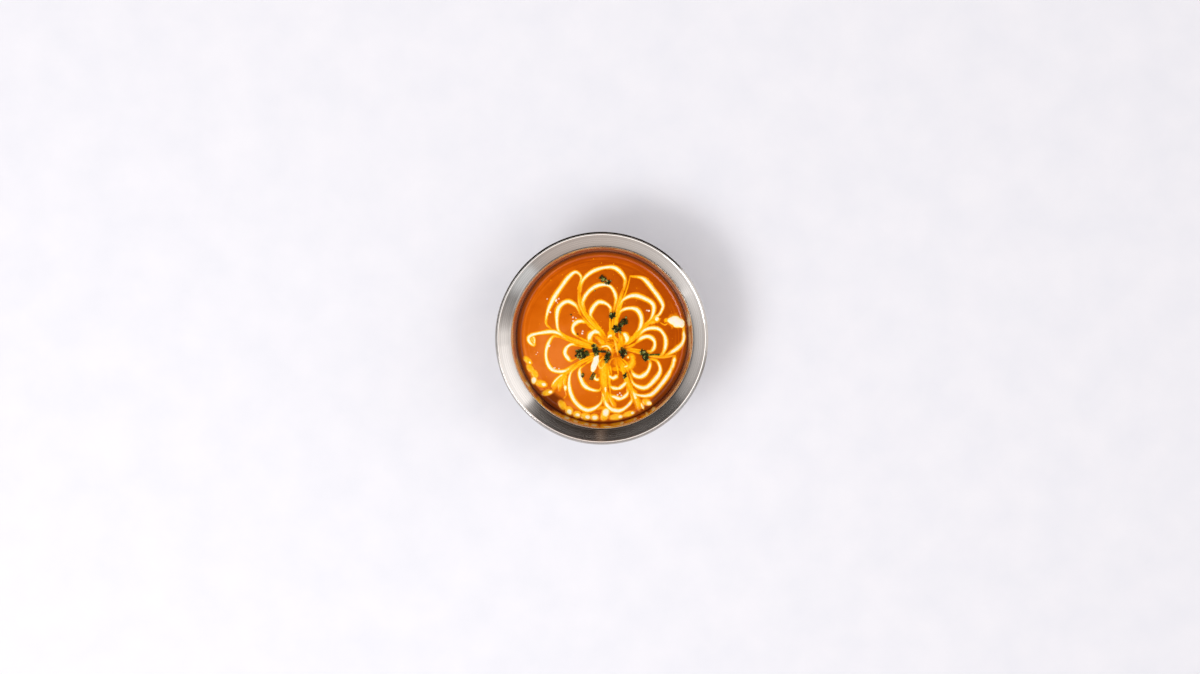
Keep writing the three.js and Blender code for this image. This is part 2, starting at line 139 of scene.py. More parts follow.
# Petal lines between two strokes, outermost first: their distance from both strokes, and their radius
# about FLOWER at the foot, shoulder, tip, shoulder and foot, or [station, radius] pairs.
PETALS = [
    ("north", "northWest", [
        ((-0.9, 1.4), (41, 54.4, 54.6, 52.6, 43.6)),
        ((2.0, 1.6), (26.7, 42.2, 43.8, 41.8, 31)),
        ((4.0, 2.6), (23.6, 31, 32.8, 30.4, 23)),
    ]),
    ("northWest", "west", [
        ((0.6, 0.8), ((0, 46), (-0.12, 52.5), (-0.07, 56.8), (0.05, 56.2), (0.24, 53.6),
                      (0.5, 51.2), (0.76, 49), (0.95, 46.5), (1, 42.7))),
        ((2.4, 0.8), (31, 43.5, 44.8, 40.8, 31.8)),
        ((2.8, 3.0), ((-0.06, 24.1), (0.12, 27.5), (0.3, 29.2), (0.5, 29.9), (0.69, 29.6), (0.86, 27.6),
                      (1, 24))),
        ((0.5, 2.4), (12, 16.5, 17.6, 17, 15)),
    ]),
    ("west", "southWest", [
        ((2.0, 1.6), (35.6, 42.3, 43.7, 41.8, 26)),
        ((2.8, 4.6), (23, 29.5, 31, 29.5, 26)),
    ]),
    ("southWest", "south", [
        ((0.6, 0.6), (22.5, 37.6, 42.4, 43.2, 28)),
        ((2.4, 2.6), (20.7, 27.5, 29.8, 29.5, 26)),
    ]),
    ("south", "southEast", [
        ((1.0, 1.2), (29.8, 39.5, 40.8, 38.8, 32)),
        ((4.0, 2.2), (29.2, 31.5, 33, 32.3, 28)),
        ((3.8, 1.2), (23, 25.6, 26, 24.8, 22)),
        ((4.5, 4.5), ((-0.4, 16.4), (-0.15, 18.1), (0.2, 18.8), (0.58, 18.1), (0.96, 16.9))),
    ]),
    ("southEast", "east", [
        ((0.8, 0.6), (25.6, 39.4, 40.2, 41.4, 41.5)),
        ((2.6, 2.0), (20, 33.6, 34.9, 35.2, 26)),
        ((5.0, 3.0), (18, 26.2, 27.8, 27.8, 25)),
    ]),
    ("east", "northEast", [
        ((1.0, 1.0), ((0, 36), (0.07, 40.3), (0.14, 44.3), (0.24, 47.3), (0.35, 48.9), (0.45, 49.3),
                      (0.57, 50.7))),
        ((1.0, 1.2), (30.6, 35.9, 36.6, 34.2, 18)),
        ((2.6, 3.8), (23.6, 28.6, 29.1, 26.7, 16.8)),
    ]),
    ("northEast", "north", [
        ((0.0, 3.4), ((0.06, 31.8), (0.04, 36.1), (0.03, 39.5), (0.08, 42.8), (0.13, 45.0), (0.26, 46.5),
                      (0.49, 48.5), (0.76, 51.8), (1, 50.5))),
        ((1.2, 1.0), (26, 40.8, 40.6, 38.8, 26)),
        ((1.4, 2.0), (17.7, 29.3, 31.6, 29.8, 22)),
    ]),
]
STATIONS = (0.24, 0.5, 0.76)  # shoulder, tip, shoulder
SIDE_STATION = 0.03  # a petal's sides stand nearly upright between foot and shoulder
SIDE_SHARE = 0.55
RUN_ON = 0.2  # how far a stroke's bend is followed past its inner end, as a share of its length
ROUND_COUNT_RADIUS = 40  # radius at which two strokes are compared, to count on past 360 degrees

# The drip that ran on past the western stroke and looped back on itself.
TAIL = [(-22.4, -1.4), (-31.2, 3.5), (-40.1, 3.0), (-47.2, 1.2), (-48.9, -0.6), (-48.2, -3.2),
        (-45.2, -5.3), (-45.2, -3.2), (-46.6, -0.4)]

# Lines that the skewer left in the middle and beside the strokes: their bends, width and strength, which
# is 1 for whole cream and less where it has mixed with the soup.
SHORT_LINES = [
    ([(-1.6, 3.6), (-4.4, 3.9), (-7.2, 2.4), (-8.2, -0.2), (-7.4, -2.4)], 2.9, 1.0),
    ([(3.9, -0.6), (5.2, 1.2), (7.1, 0.6)], 1.7, 0.95),
    ([(7.1, 0.6), (8.6, -2.4), (9.6, -6.5), (10.6, -11.9)], 1.4, 0.68),
    ([(12.9, 3.2), (15.2, 1.9), (16.6, -1.1), (15.3, -4.4)], 2.5, 0.98),
    ([(12.8, 1.6), (13.2, -3.1)], 1.1, 0.7),
    ([(11.2, 3.8), (11.7, 0.5), (12.2, -4.1)], 1.0, 0.6),
    ([(6.6, 3.8), (8.0, 1.0), (11.2, -3.2)], 1.2, 0.6),
    ([(-4.6, 0.5), (-1.8, -1.3), (0.1, -4.1)], 2.4, 0.56),
    ([(2.4, 0.5), (2.9, -2.7), (5.7, -6.0), (7.0, -9.7), (6.6, -13.4)], 1.8, 0.4),
    ([(8.9, -13.4), (5.7, -15.3), (5.0, -19.0)], 0.8, 0.4),
    ([(9.4, -13.4), (9.6, -17.0), (10.3, -20.9)], 0.8, 0.4),
    ([(15.0, -6.5), (19.6, -6.0), (22.4, -4.1)], 1.1, 0.46),
    ([(13.6, -8.0), (19.4, -8.6), (26.0, -10.2)], 0.9, 0.46),
    ([(-2.0, -6.7), (0.4, -6.1), (3.5, -5.8), (5.6, -7.8), (6.6, -9.8)], 1.4, 0.92),
    ([(-4.0, -25.0), (-4.8, -27.0), (-3.2, -28.2), (-1.9, -26.8)], 1.5, 0.96),
    ([(1.2, -12.2), (-1.2, -15.5), (-2.4, -17.6), (-1.4, -19.8), (-0.6, -20.6), (0.9, -19.2),
      (2.2, -17.0), (1.5, -13.5)], 0.9, 0.76),
    ([(14.3, -20.0), (16.0, -19.2), (17.7, -18.7)], 1.3, 0.88),
    ([(15.2, -21.0), (18.4, -19.4), (20.4, -15.6), (19.4, -12.0), (17.4, -12.6)], 3.1, 0.66),
    ([(16.7, -13.4), (17.9, -12.9)], 1.7, 0.92),
    ([(-24.5, -23.8), (-29.5, -27.1), (-31.6, -29.5), (-33.7, -33.0)], 1.3, 0.92),
    ([(-24.5, -23.5), (-27.6, -25.8), (-30.3, -29.8), (-32.4, -35.0)], 2.9, 0.66),
    ([(-24.6, -24.0), (-27.1, -27.4), (-28.2, -31.1), (-28.4, -35.4)], 3.4, 0.66),
    ([(-23.6, -24.0), (-25.2, -28.5), (-24.5, -33.0)], 2.4, 0.64),
    ([(-24.4, -31.6), (-24.4, -35.8)], 1.8, 0.98),
    ([(-24.3, -35.6), (-23.9, -38.6), (-26.0, -41.2)], 0.9, 0.4),
    ([(18.6, -33.4), (21.2, -37.3), (23.3, -42.4), (25.0, -48.4)], 3.2, 0.66),
    ([(20.6, -36.0), (23.0, -41.6)], 1.8, 0.97),
    ([(25.6, -43.2), (27.9, -48.0)], 1.4, 0.94),
    ([(-0.2, -35.6), (1.4, -41.2), (1.2, -44.0)], 1.2, 0.8),
    ([(2.1, -32.4), (2.5, -37.2)], 1.3, 0.95),
    ([(1.4, -14.0), (1.2, -22.0), (1.4, -30.0), (2.0, -36.0)], 4.4, 0.64),
    ([(2.0, -34.0), (3.2, -40.0), (2.4, -47.0)], 2.6, 0.6),
    ([(3.4, -36.0), (5.6, -41.0), (9.0, -46.6)], 2.4, 0.62),
    ([(-8.0, -48.6), (0.4, -47.0), (8.6, -49.0), (16.0, -48.0)], 2.2, 0.46),
    ([(36.9, 13.9), (36.2, 12.4), (34.8, 12.6)], 2.6, 1.0),
    ([(36.0, 10.6), (33.0, 10.2), (29.5, 9.2)], 2.0, 0.64),
    ([(43.7, 9.6), (41.7, 8.4), (39.7, 9.2), (38.5, 10.0)], 0.7, 0.6),
    ([(48.2, -12.2), (47.8, -15.4), (47.1, -18.4), (46.2, -21.5)], 1.9, 0.96),
    ([(-45.6, -5.0), (-44.8, -3.0), (-45.2, -0.6), (-46.4, 1.2)], 1.3, 0.9),
]

# Where a skewer stroke passed, the ends of the petal lines lie side by side as threads: how wide such
# a bed is near the middle of the flower, and how far out it reaches.
STROKE_BEDS = {
    "north": (2.0, 30), "northWest": (5.6, 36), "west": (6.0, 38), "southWest": (5.2, 36),
    "south": (5.0, 30), "southEast": (4.4, 32), "east": (1.6, 30), "northEast": (4.4, 36),
}

BED_STRENGTH = 0.36
BED_END = 6  # radius about FLOWER where every bed ends
BED_APART = 40  # threads between the patterns of two beds
BED_CHANGES = 4  # how often a thread changes along its bed

# Patches where cream and soup swirled together: middle, half length, half width, turn and strength.
CLEAR_PATCHES = [
    ((5.6, 2.8), (2.4, 1.7), 10, 0.56), ((0.0, -3.2), (2.6, 2.0), -40, 0.58),
    ((13.2, -21.6), (1.8, 1.3), 0, 0.58), ((9.4, -21.0), (3.6, 1.6), 0, 0.4),
    ((13.0, -2.2), (1.5, 3.6), 8, 0.5), ((10.4, -16.4), (3.8, 4.2), 0, 0.28),
    ((42.6, 11.4), (1.8, 1.5), 0, 0.6), ((-46.7, -1.6), (1.3, 2.4), 0, 0.56),
]
SWIRLED_PATCHES = [
    ((6.5, -4.5), (9.0, 6.4), 0, 0.42),
    ((-8.5, -4.8), (6.0, 2.4), -36, 0.4), ((-3.5, 7.0), (8.0, 2.6), -47, 0.42),
]

# Along the lowest stroke the cream ran together: middle, half length, half width, turn and strength.
RUN_TOGETHER = ((1.2, -25.6), (7.2, 2.3), 90, 0.88)
RUN_TOGETHER_HEIGHT = 0.1

# From both feet of a petal line a thin thread runs on towards the middle of the flower.
FOOT_THREAD = (0.9, 0.08)  # its width and height
FOOT_END = (9.0, 1.5)  # the radius about FLOWER where it ends, and by how much that varies
FOOT_LEAST = 4  # a shorter one is left out
FOOT_AWAY = 6  # and so is one whose foot stands further than this from its stroke

# Cream that ran to the wall: x, y, length, width and direction of each drop, then how far along it the
# whiter spot lies and how large that is; the spot is whiter cream with a painted highlight.
EDGE_DROPS = [
    (-49.5, -15.4, 6.6, 3.5, -42, 0.6, 0.9), (-47.7, -20.9, 6.4, 3.8, -52, 0, 0),
    (-44.9, -24.4, 5.6, 4.2, -62, 0, 0), (-45.3, -28.6, 5.4, 3.9, -95, 0.0, 2.3),
    (-40.6, -30.9, 7.8, 4.2, -15, 0.5, 1.6), (-36.3, -36.9, 7.6, 3.9, 14, 0.5, 1.5),
    (-26.6, -45.0, 7.0, 4.4, -55, 0, 0), (-21.9, -49.0, 5.6, 4.9, -70, 0.2, 2.1),
    (-16.6, -51.5, 5.0, 4.4, -16, 0.2, 1.6), (-10.9, -52.8, 6.4, 4.4, -12, 0.4, 1.8),
    (-5.0, -53.4, 5.2, 4.4, -5, 0.1, 2.0), (2.0, -51.2, 8.6, 5.0, -112, -0.3, 3.0),
    (9.4, -53.1, 8.4, 3.9, 6, 0.7, 1.5), (17.8, -51.0, 7.6, 3.4, 17, 0.7, 1.2),
    (29.8, -43.2, 6.2, 4.0, -20, 0.5, 1.9),
]
DROP_HEIGHT = 0.5
SPOT_SHAPE = (0.78, 0.58)  # half length and half width of a whiter spot, as shares of its size

# Cream gathered as large as a berry, by its node: bends along its middle, its half width at even steps,
# the width over which it seeps into the soup, and its seed.
GATHERINGS = {
    "cream_pool": ([(43.2, 11.5), (46.8, 11.2), (50.4, 10.0), (54.6, 7.9)], (1.8, 3.2, 3.9, 3.8, 2.9),
                   5.2, 3),
    "cream_dollop": ([(-2.4, -11.6), (-3.8, -14.4), (-4.8, -17.2), (-5.7, -20.2), (-6.5, -23.2)],
                     (1.4, 2.5, 2.3, 2.0, 1.7), 3.4, 5),
}
GATHERED_TOP = 0.9
GATHERED_SUNK = 0.3
GATHERED_CORNERS = 72
GATHERED_RINGS = 9

# How the mix runs from the middle of a line, drop, spot or gathering of cream outwards, by distance
# over half its width.
MIX_DISTANCE = (0, 0.4, 0.68, 0.92, 1.14, 1.45, 1.9, 2.3)
MIX_STRENGTH = (0.97, 0.93, 0.84, 0.71, 0.56, 0.36, 0.15, 0)
DROP_DISTANCE = (0, 0.7, 0.95, 1.15, 1.4)
DROP_STRENGTH = (0.64, 0.62, 0.55, 0.3, 0)
SPOT_DISTANCE = (0, 0.6, 1.0, 1.3, 1.6)
SPOT_STRENGTH = (1.0, 0.95, 0.82, 0.66, 0)
GATHERED_DISTANCE = (0, 0.62, 0.8, 0.92, 1)
GATHERED_STRENGTH = (1, 0.97, 0.85, 0.66, 0.52)

# What each point of soup or cream carries for its material: its share of cream, of swirled cream and of
# a bed of threads, its place across and along that bed, its oil and painted shade beside the wall, and
# how pale the soup is, which is partly painted light.
SOUP_LAYERS = ("cream", "marble", "bed", "across", "along", "film_and_shade", "pale")

# ---- Chopped herbs ----
# A clump: middle, half length, half width, turn and number of leaf scraps.
SMALL_CLUMPS = [
    ((0.4, 39), (3.2, 2.6), -30, 16),
    ((3.9, 36.6), (2.6, 1.8), 20, 9),
    ((6.8, 14.6), (3.0, 2.7), 60, 18),
    ((15.1, 10.9), (3.0, 2.6), 50, 15),
    ((12.4, 8.4), (2.3, 1.9), 40, 10),
    ((9.9, 5.9), (4.0, 3.1), 15, 24),
    ((11.9, 3.9), (1.4, 0.9), -60, 3),
    ((1.2, -9.2), (2.4, 1.0), -8, 7),
    ((36.8, -11.4), (1.7, 1.0), 15, 4),
    ((14.0, -10.2), (4.0, 3.1), 112, 22),
    ((-12.8, -25.2), (1.7, 1.3), 80, 6),
    ((15.1, -25.6), (2.6, 1.5), 80, 9),
    ((-4.9, 30.9), (0.7, 0.7), 0, 2),
    ((-20.8, 14.9), (0.8, 0.7), 0, 2),
    ((-16.4, 2.1), (0.7, 0.7), 0, 2),
]
LARGE_CLUMPS = {
    "herb_clump_west": ((-13.3, -10.9), (5.3, 4.2), 8, 60),
    "herb_clump_inner": ((-4.4, -8.4), (5.2, 2.3), 106, 36),
    "herb_clump_centre": ((3.6, -13.0), (4.8, 2.3), 80, 36),
    "herb_sprig_east": ((28.2, -11.8), (4.8, 2.8), 115, 38),
}
CLUMP_STEMS = {
    "herb_clump_inner": ((-4.0, -8.8), (0.5, -9.9)),
    "herb_sprig_east": ((29.0, -11.7), (38.4, -11.2)),
}
LOOSE_STEMS = [((-8.1, -28.0), (-5.7, -23.3)), ((-6.8, -28.5), (-4.7, -24.0))]
STEM_RADIUS = 0.5
STEM_TAPER = 0.85
STEM_LIFT = 0.45  # a clump's stem lies on the cream, this much above a loose one

# A scrap of leaf: the counts and ranges that its form is drawn from, where lengths are shares of its size.
LEAF_CORNERS = 32
LOBES, LOBE_DEPTH = (3, 4, 5), (0.35, 0.65)
SLIMNESS = (0.6, 1.0)
TOOTH, RAGGEDNESS = 0.14, 0.05
CHOPS, CHOP_PLACE = (0, 1, 1, 2), (0.16, 0.34)
FOLD, CURL, RUFFLE, RUFFLES = (0.1, 0.8), (-0.5, 0.5), (0.03, 0.1), (3, 4, 5)
LEAF_SHADES = (0.16, 0.26, 0.38, 0.5, 0.72, 1.15)

# How scraps are heaped up in a clump.
LEAF_THICKNESS = 0.14
SCRAP_SIZES = (1.7, 3.2)
LOWEST_SCRAP, HEAP_HEIGHT = 0.3, 1.1
SCRAP_TURN = 2.4  # radians from one scrap to the next, which spreads them evenly
LARGE_SEED, SMALL_SEED, LOOSE_SEED = 70, 20, 5  # of the first large clump, small clump and loose stem
FULL_HEAP = 2.4  # half width from which a clump is heaped up to HEAP_HEIGHT
ANY_WAY = (0, 6.28)  # radians


# ---- Small helpers ----


def srgb(code):
    """A colour given as an sRGB hex value, in linear light."""
    parts = [int(code[i:i + 2], 16) / 255 for i in (0, 2, 4)]
    return tuple(c / 12.92 if c <= 0.04045 else ((c + 0.055) / 1.055) ** 2.4 for c in parts) + (1.0,)


def held(value):
    """A number, held between 0 and 1."""
    return min(1.0, max(0.0, value))


def add(tree, kind, inputs=None, stops=(), **settings):
    """Adds a node with its settings. Each input takes a value, or the node or output that feeds it. A
    colour ramp also takes its stops, as pairs of a place and a linear colour."""
    node = tree.nodes.new("ShaderNode" + kind)
    for name, value in settings.items():
        setattr(node, name, value)
    for socket, value in (inputs or {}).items():
        if isinstance(value, bpy.types.Node):
            value = value.outputs[0]
        if isinstance(value, bpy.types.NodeSocket):
            tree.links.new(value, node.inputs[socket])
        else:
            node.inputs[socket].default_value = value
    if stops:
        elements = node.color_ramp.elements
        while len(elements) < len(stops):
            elements.new(1.0)
        for element, (place, colour) in zip(elements, stops):
            element.position = place
            element.color = colour
    return node


def blank_material(name):
    """An empty material, its node tree and where on the object a point lies."""
    material = bpy.data.materials.new(name)
    material.use_nodes = True
    tree = material.node_tree
    tree.nodes.clear()
    return material, tree, add(tree, "TexCoord").outputs["Object"]


def finish_surface(tree, inputs):
    """Ends a material with its Principled surface."""
    add(tree, "OutputMaterial", {"Surface": add(tree, "BsdfPrincipled", inputs)})


def only(kind, made):
    """The corners or edges alone, of all that an operator made."""
    return [item for item in made["geom"] if isinstance(item, kind)]


def new_mesh(name, bm):
    mesh = bpy.data.meshes.new(name)
    bm.to_mesh(mesh)
    bm.free()
    return mesh


def join_to(target, bm):
    """Adds one bmesh to another."""
    mesh = new_mesh("joined", bm)
    target.from_mesh(mesh)
    bpy.data.meshes.remove(mesh)


def new_object(name, data):
    thing = bpy.data.objects.new(name, data)
    bpy.context.scene.collection.objects.link(thing)
    return thing


def new_piece(name, bm, material, slot, *nodes):
    """Turns a bmesh in millimetres into a piece that rides on the part and stands for CAD nodes."""
    bmesh.ops.scale(bm, vec=(MM, MM, MM), verts=bm.verts)
    mesh = new_mesh(name, bm)
    mesh.shade_smooth()
    mesh.materials.append(material)
    piece = new_object(name, mesh)
    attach(piece, "root")
    if nodes:
        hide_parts(*nodes)


# ---- Materials ----


def away_from_axis(tree, place):
    """The level way from the bowl's axis to a point, and how long it is."""
    flat = add(tree, "VectorMath", {0: place, 1: (1, 1, 0)}, operation="MULTIPLY")
    return flat, add(tree, "VectorMath", {0: flat}, operation="LENGTH").outputs["Value"]


def spun_stainless_steel():
    """Stainless steel sheet spun on a lathe and polished: fine rings round the axis stretch what it mirrors
    across them, and leave it bright where it faces a light and dark where it doesn't. The wall inside is
    dulled by what the soup left on it."""
    material, tree, place = blank_material("spun stainless steel")
    _, radius = away_from_axis(tree, place)
    height = add(tree, "SeparateXYZ", {0: place}).outputs["Z"]
    along = add(tree, "Math", {0: radius, 1: height}, operation="ADD")
    # The rings are 0.1 mm apart and are drawn 0.5 mm apart, so that they show.
    fine = add(tree, "TexNoise", {"W": along, "Scale": 1 / (0.5 * MM), "Detail": 3.0}, noise_dimensions="1D")
    broad = add(tree, "TexNoise", {"W": along, "Scale": 1 / (4 * MM), "Detail": 1.0}, noise_dimensions="1D")
    mixed = add(tree, "Mix", {0: 0.4, 2: fine, 3: broad}, data_type="FLOAT")
    colour = add(tree, "ValToRGB", {0: mixed}, [(0.3, srgb("bcb7b3")), (0.7, srgb("e0dcd9"))])
    dull = add(tree, "Attribute", attribute_name="dull").outputs["Fac"]
    stained = add(tree, "Attribute", attribute_name="stained").outputs["Fac"]
    film_and_shade = add(tree, "Mix", {0: stained, 6: srgb("c8bcac"), 7: srgb("a4824e")}, data_type="RGBA")
    filmed = add(tree, "Mix", {0: dull, 6: colour, 7: film_and_shade.outputs[2]}, data_type="RGBA")
    brushed = add(tree, "MapRange", {0: mixed, 1: 0.3, 2: 0.7, 3: 0.08, 4: 0.14})
    rolled = add(tree, "MapRange", {0: radius, 1: MIRROR_FROM * MM, 2: MIRROR_TO * MM, 3: 1.0, 4: 0.35})
    polished = add(tree, "Math", {0: brushed, 1: rolled}, operation="MULTIPLY")
    rougher = add(tree, "MapRange", {0: stained, 3: 0.2, 4: 0.05})
    roughness = add(tree, "Math", {0: dull, 1: rougher, 2: polished}, operation="MULTIPLY_ADD")
    bump = add(tree, "Bump", {"Height": fine, "Strength": 0.15, "Distance": 0.01 * MM})
    tangent = add(tree, "Tangent", direction_type="RADIAL", axis="Z")
    finish_surface(tree, {"Base Color": filmed.outputs[2], "Metallic": 1.0, "Roughness": roughness,
                          "Anisotropic": 0.7, "Anisotropic Rotation": 0.25, "Tangent": tangent,
                          "Normal": bump})
    return material


def tomato_soup(name):
    """Creamed tomato soup, wet and smooth. Where cream thins out in it the colour goes from ivory over
    yellow and amber to the soup's deep orange, and beside the wall it is brown with oil and painted shade."""
    material, tree, place = blank_material(name)
    shares = {layer: add(tree, "Attribute", attribute_name=layer).outputs["Fac"] for layer in SOUP_LAYERS}
    # The threads of a bed run along the skewer's stroke, THREAD_GAP apart.
    bed_place = add(tree, "CombineXYZ", {0: shares["across"], 1: shares["along"]})
    thread = add(tree, "TexNoise", {"Vector": bed_place, "Scale": 1.0, "Detail": 1.0}, noise_dimensions="2D")
    strand = add(tree, "MapRange", {0: thread, 1: 0.38, 2: 0.64, 3: 0.12, 4: 1.5})
    threads = add(tree, "Math", {0: strand, 1: shares["bed"]}, operation="MULTIPLY")
    # Where cream swirled into the soup, the swirls are some 5 mm across.
    swirl = add(tree, "TexNoise", {"Vector": place, "Scale": 1 / (5 * MM), "Detail": 2.0, "Distortion": 2.2})
    curl = add(tree, "MapRange", {0: swirl, 1: 0.42, 2: 0.6, 3: 0.1, 4: 1.3})
    swirls = add(tree, "Math", {0: curl, 1: shares["marble"]}, operation="MULTIPLY")
    streaks = add(tree, "Math", {0: threads, 1: swirls}, operation="MAXIMUM")
    mixed = add(tree, "Math", {0: streaks, 1: shares["cream"]}, operation="MAXIMUM")
    # The edge of a line of cream wavers by a few tenths of a millimetre.
    waver = add(tree, "TexNoise", {"Vector": place, "Scale": 1 / (1.3 * MM), "Detail": 2.0})
    shift = add(tree, "MapRange", {0: waver, 1: 0.3, 2: 0.7, 3: -0.06, 4: 0.06})
    wavered = add(tree, "Math", {0: mixed, 1: shift}, operation="ADD")
    # The soup isn't quite even: paler and deeper patches are some 9 mm across.
    mottle = add(tree, "TexNoise", {"Vector": place, "Scale": 1 / (9 * MM), "Detail": 3.0})
    mottled = add(tree, "MapRange", {0: mottle, 1: 0.3, 2: 0.7, 3: -0.12, 4: 0.12})
    # Specks of cream and oil are 0.4 mm across and some millimetres apart.
    specks = add(tree, "TexVoronoi", {"Vector": place, "Scale": 1 / (2.6 * MM)})
    chance = add(tree, "SeparateColor", {0: specks.outputs["Color"]})
    near = add(tree, "MapRange", {0: specks.outputs["Distance"], 1: 0.07, 2: 0.16, 3: 0.5, 4: 0.0})
    chosen = add(tree, "MapRange", {0: chance, 1: 0.45, 2: 0.9})
    specked = add(tree, "Math", {0: near, 1: chosen}, operation="MULTIPLY")
    edged = add(tree, "Math", {0: wavered, 1: specked}, operation="MAXIMUM")
    # Beside the wall the soup was stirred last, and its skin shows flow lines 1.5 mm apart.
    flat, radius = away_from_axis(tree, place)
    way = add(tree, "VectorMath", {0: flat}, operation="NORMALIZE")
    round_wall = add(tree, "VectorMath", {0: way, 1: (1.2, 1.2, 0)}, operation="MULTIPLY")
    ring = add(tree, "Math", {0: radius, 1: 1 / (1.5 * MM)}, operation="MULTIPLY")
    lines = add(tree, "TexNoise", {"Vector": round_wall, "Scale": 1.0, "Detail": 1.0, "W": ring},
                noise_dimensions="4D")
    line = add(tree, "MapRange", {0: lines, 1: 0.4, 2: 0.66, 3: -0.12, 4: 0.5})
    beside_wall = add(tree, "MapRange", {0: radius, 1: 47 * MM, 2: 52 * MM})
    flow = add(tree, "Math", {0: line, 1: beside_wall}, operation="MULTIPLY")
    tone = add(tree, "Math", {0: mottled, 1: flow}, operation="ADD")
    # The pale layer is partly painted light and sheen from the key light, partly cream stirred in.
    paleness = add(tree, "Math", {0: shares["pale"], 1: tone}, operation="ADD")
    body = add(tree, "ValToRGB", {0: paleness}, [
        (0.0, srgb("b04900")), (0.4, srgb("c85a01")), (0.7, srgb("d46609")), (1.0, srgb("e07628"))])
    mixing = add(tree, "ValToRGB", {0: edged}, [
        (0.1, srgb("d66a04")), (0.25, srgb("ea8504")), (0.42, srgb("f89c03")), (0.56, srgb("ffb203")),
        (0.68, srgb("ffc828")), (0.76, srgb("fedc78")), (0.85, srgb("feebb4")), (0.94, srgb("fdf1d0")),
        (1.0, srgb("f8eee4"))])
    share = add(tree, "MapRange", {0: edged, 1: 0.04, 2: 0.24})
    creamy = add(tree, "Mix", {0: share, 6: body, 7: mixing}, data_type="RGBA")
    # Beside the wall the soup is painted brown, partly oil and partly painted shade from the wall: red brown
    # where the band is weak, dark brown where it is strong.
    oil_and_shade = add(tree, "ValToRGB", {0: shares["film_and_shade"]}, [(0.5, srgb("994507")), (1.0, srgb("6c2a02"))])
    covered = add(tree, "MapRange", {0: shares["film_and_shade"], 2: 0.5})
    brown = add(tree, "Mix", {0: covered, 6: creamy.outputs[2], 7: oil_and_shade}, data_type="RGBA")
    bump = add(tree, "Bump", {"Height": mottle, "Strength": 0.2, "Distance": 0.1 * MM})
    finish_surface(tree, {"Base Color": brown.outputs[2], "Roughness": 0.16, "IOR": 1.35,
                          "Specular IOR Level": 0.4, "Normal": bump})
    return material


def chopped_herb():
    """Chopped parsley leaf, moist from the soup: dark green with paler veins, and grey green where it
    catches the light."""
    material, tree, place = blank_material("chopped parsley")
    leaf_place = add(tree, "Attribute", attribute_name="leaf").outputs["Vector"]
    leaf = add(tree, "SeparateXYZ", {0: leaf_place}).outputs
    off_rib = add(tree, "Math", {0: leaf["Y"]}, operation="ABSOLUTE")
    rib = add(tree, "MapRange", {0: off_rib, 1: 0.0, 2: 0.035, 3: 1.0, 4: 0.0})
    # Side veins leave the rib at an angle, five to a leaf.
    slant = add(tree, "Math", {0: off_rib, 1: -0.8, 2: leaf["X"]}, operation="MULTIPLY_ADD")
    count = add(tree, "Math", {0: slant, 1: 5.0}, operation="MULTIPLY")
    turn = add(tree, "Math", {0: count}, operation="FRACT")
    centred = add(tree, "Math", {0: turn, 1: 0.5}, operation="SUBTRACT")
    off_vein = add(tree, "Math", {0: centred}, operation="ABSOLUTE")
    vein = add(tree, "MapRange", {0: off_vein, 1: 0.0, 2: 0.1, 3: 0.6, 4: 0.0})
    veins = add(tree, "Math", {0: rib, 1: vein}, operation="MAXIMUM")
    # The leaf's flesh differs over 0.9 mm, and each scrap has a shade of its own.
    cells = add(tree, "TexNoise", {"Vector": place, "Scale": 1 / (0.9 * MM), "Detail": 3.0})
    varied = add(tree, "Math", {0: cells, 1: leaf["Z"]}, operation="MULTIPLY")
    ribbed = add(tree, "Math", {0: veins, 1: 0.16, 2: varied}, operation="MULTIPLY_ADD")
    colour = add(tree, "ValToRGB", {0: ribbed}, [
        (0.08, srgb("0e1002")), (0.22, srgb("262b04")), (0.36, srgb("464a0c")), (0.52, srgb("787a28")),
        (0.68, srgb("b4b466"))])
    bump = add(tree, "Bump", {"Height": ribbed, "Strength": 0.6, "Distance": 0.15 * MM})
    finish_surface(tree, {"Base Color": colour, "Roughness": 0.4, "Specular IOR Level": 0.16,
                          "Normal": bump})
    return material


def varied_material(name, size, detail, stops, finish):
    """A plain material whose colour wanders between its stops over this many millimetres."""
    material, tree, place = blank_material(name)
    noise = add(tree, "TexNoise", {"Vector": place, "Scale": 1 / (size * MM), "Detail": detail})
    colour = add(tree, "ValToRGB", {0: noise}, stops)
    finish_surface(tree, {"Base Color": colour, **finish})
    return material


def cut_stem():
    """Cut parsley stem: moist and dark green, with paler green ribs."""
    stops = [(0.35, srgb("0c1402")), (0.5, srgb("26380a")), (0.62, srgb("7c9030"))]
    return varied_material("parsley stem", 0.8, 2.0, stops, {"Roughness": 0.5, "Specular IOR Level": 0.2})


def froth():
    """Small bubbles of air in the soup's skin, very smooth and paler than the soup: froth's own paler colour
    with a painted highlight.
    """
    stops = [(0.35, srgb("fcc498")), (0.65, srgb("fff2e4"))]
    return varied_material("soup froth", 1.5, 2.0, stops, {"Roughness": 0.2, "Specular IOR Level": 0.5})


# ---- Bowl ----


def sheet_line():
    """Points and inward normals along the middle of the sheet, from the axis to the bead."""
    line = [(Vector((0, SHEET / 2)), Vector((0, 1)))]
    corners = [line[0][0], Vector(BASE_CORNER), Vector(SHOULDER), Vector(FLANGE_END)]
    for k, bend, steps, side in ((1, BASE_BEND, BASE_STEPS, 1), (2, SHOULDER_BEND, SHOULDER_STEPS, -1)):
        before = (corners[k] - corners[k - 1]).normalized()
        after = (corners[k + 1] - corners[k]).normalized()
        start_angle = math.atan2(before.y, before.x)
        turn = math.atan2(after.y, after.x) - start_angle
        start = corners[k] - before * bend * math.tan(abs(turn) / 2)
        middle = start + Vector((-before.y, before.x)) * side * bend
        for i in range(steps + 1):
            angle = start_angle + turn * i / steps
            inward = Vector((-math.sin(angle), math.cos(angle)))
            line.append((middle - inward * side * bend, inward))
    start, slope = line[-1]
    for share in FLANGE_SHARES:
        bow = slope * (FLANGE_BOW * 4 * share * (1 - share))
        line.append((start.lerp(Vector(FLANGE_END), share) + bow, slope))
    return line


